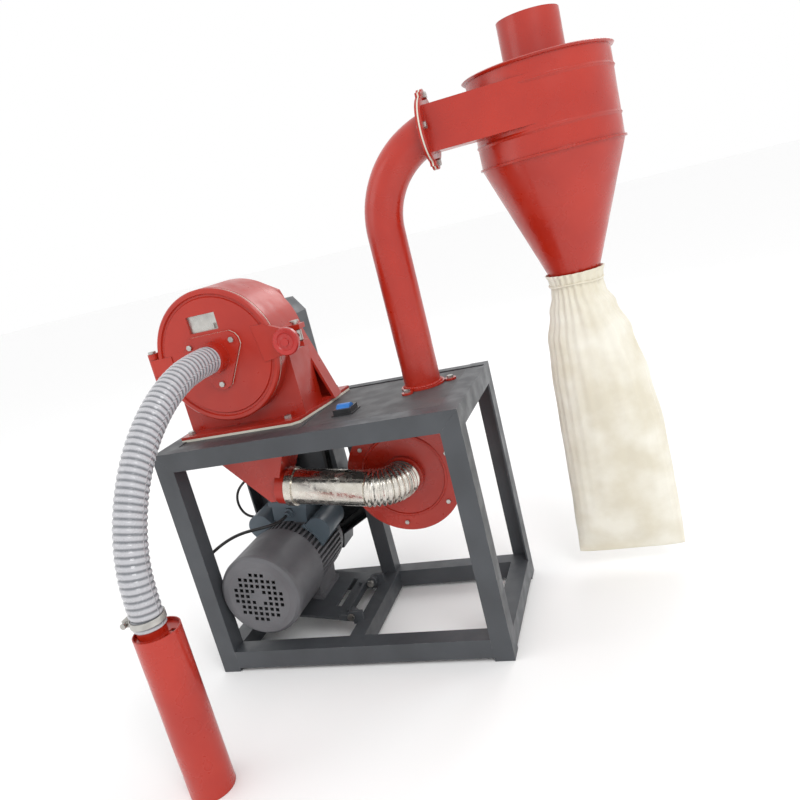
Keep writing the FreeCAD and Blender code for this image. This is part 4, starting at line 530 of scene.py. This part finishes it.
# ---------------------------------------------------------------- bag
BAG_LEVELS = ((46, 877, 112, 9, 0), (110, 879, 111, 26, 0.2), (196, 881, 108, 34, 0.35),
              (320, 881, 105, 38, 0.5), (430, 877, 97, 42, 0.7), (530, 871, 84, 44, 0.85),
              (590, 867, 66, 48, 1), (624, 864, 53, 51, 1), (640, 864, 51, 51, 1),
              (656, 864, 53.5, 53.5, 1), (668, 864, 58, 57, 1))
BAG_X = 864
BAG_Y = 330
BAG_SIDES = 220
BAG_ROWS = 150
CLOTH = 0.0008
STRING_LEVEL = 646
STRING_REACH = 54.5
STRING_RADIUS = 0.0016


def level_at(z):
    """The bag's outline sizes at a height, smooth between the given levels."""
    for low, high in zip(BAG_LEVELS, BAG_LEVELS[1:]):
        if low[0] <= z <= high[0]:
            part = (z - low[0]) / (high[0] - low[0])
            part = part * part * (3 - 2 * part)
            return [a + (b - a) * part for a, b in zip(low[1:], high[1:])]
    return list(BAG_LEVELS[-1][1:])


def make_bag(looks):
    """A flat-sewn cotton bag, gathered on the cone's neck and hanging in soft folds."""
    rings = []
    uvs = []
    top = BAG_LEVELS[-1][0]
    low = BAG_LEVELS[0][0]
    for i in range(BAG_ROWS + 1):
        z = low + (top - low) * i / BAG_ROWS
        x, half_x, half_y, gather = level_at(z)
        ring = []
        for j in range(BAG_SIDES):
            turn = 2 * math.pi * j / BAG_SIDES
            squareness = 2 / (2.0 + 0.9 * (1 - gather))
            u = math.copysign(abs(math.cos(turn)) ** squareness, math.cos(turn))
            v = math.copysign(abs(math.sin(turn)) ** squareness, math.sin(turn))
            pleat = math.sin(24 * turn + 1.3 * math.sin(3 * turn)) * 1.5 * gather
            pleat += math.sin(15 * turn + 0.02 * z) * 0.7 * gather
            fold = 3.6 * math.sin(4 * turn + 0.012 * z + 1.2 * math.sin(0.017 * z))
            fold += 2.6 * math.sin(7.7 * u + 0.026 * z) + 1.9 * math.sin(12 * u - 0.05 * z)
            fold += 1.4 * math.sin(0.085 * z + 5 * u) * math.sin(2 * turn + 0.6)
            fold *= 1 - gather * 0.86
            fold *= min(1, (z - low) / 60 + 0.15)
            reach = 1 + (pleat + fold) / max(half_x, half_y)
            px = x + half_x * u * (1 + pleat / max(half_x, 1))
            py = BAG_Y + half_y * v * reach + fold * 0.55
            sag = 2.5 * math.sin(2.2 * u + 0.6) * (1 - (z - low) / (top - low)) if i else 0
            ring.append(place(px, py, z + sag * 0.4))
            uvs.append((j / BAG_SIDES * 4.7, i / BAG_ROWS * 6.2))
        rings.append(ring)
    points = [p for ring in rings for p in ring]
    faces = skin(rings)
    for j in range(1, BAG_SIDES // 2):
        k = BAG_SIDES - j
        faces.append((j - 1, j, k % BAG_SIDES, (k + 1) % BAG_SIDES))
    bag = mesh_object("bag_cloth", points, faces, looks["bag_cotton"], uvs=uvs)
    thick = bag.modifiers.new("cloth", "SOLIDIFY")
    thick.thickness = CLOTH
    thick.offset = -1
    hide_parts("collection_bag")

    string = bpy.data.curves.new("bag_string", "CURVE")
    string.dimensions = "3D"
    spline = string.splines.new("NURBS")
    loop = []
    for i in range(25):
        turn = 2 * math.pi * i / 24 + math.pi
        loop.append(place(BAG_X + STRING_REACH * math.cos(turn), BAG_Y + STRING_REACH * math.sin(turn),
                          STRING_LEVEL + 1.5 * math.sin(3 * turn)))
    spline.points.add(len(loop) - 1)
    for point, where in zip(spline.points, loop):
        point.co = (*where, 1)
    spline.order_u = 3
    spline.use_endpoint_u = True
    string.bevel_depth = STRING_RADIUS
    string.materials.append(looks["bag_cotton"])
    cord = bpy.data.objects.new("bag_string", string)
    bpy.context.scene.collection.objects.link(cord)
    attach(cord, "frame")
    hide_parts("bag_drawstring")


# ---------------------------------------------------------------- welds
PIPE_FOOT = (531, 224, 516.5)
PIPE_WELD_RADIUS = 0.0385
WELD_BEAD = 0.0028


def make_weld(name, centre, axis, radius, bead, looks):
    """A rippled bead of weld round a pipe, painted over."""
    axis = Vector(axis).normalized()
    side = axis.orthogonal().normalized()
    up = axis.cross(side)
    steps = 220
    rings = []
    for i in range(steps):
        turn = 2 * math.pi * i / steps
        out = side * math.cos(turn) + up * math.sin(turn)
        size = bead * (1 + 0.22 * math.sin(46 * turn) + 0.12 * math.sin(17 * turn))
        ring = []
        for j in range(10):
            roll = 2 * math.pi * j / 10
            reach = radius + size * math.cos(roll)
            ring.append(Vector(centre) + out * reach + axis * size * math.sin(roll))
        rings.append(ring)
    points = [p for ring in rings for p in ring]
    faces = skin(rings + [rings[0]])
    count = len(points)
    faces = [tuple(index % count for index in face) for face in faces]
    mesh_object(name, points, faces, looks["red_paint"])


def main():
    set_camera()
    looks = make_materials()
    dress_nodes(looks)
    make_hose(looks)
    make_cable("motor_lead", "motor_cable", MOTOR_CABLE, MOTOR_CABLE_RADIUS, looks)
    make_cable("switch_lead", "switch_cable", SWITCH_CABLE, SWITCH_CABLE_RADIUS,
               looks)
    make_elbow(looks)
    make_bag(looks)
    make_weld("pipe_foot_weld", place(*PIPE_FOOT), (0, 0, 1), PIPE_WELD_RADIUS, WELD_BEAD, looks)
    set_studio()


main()
bpy.context.view_layer.update()
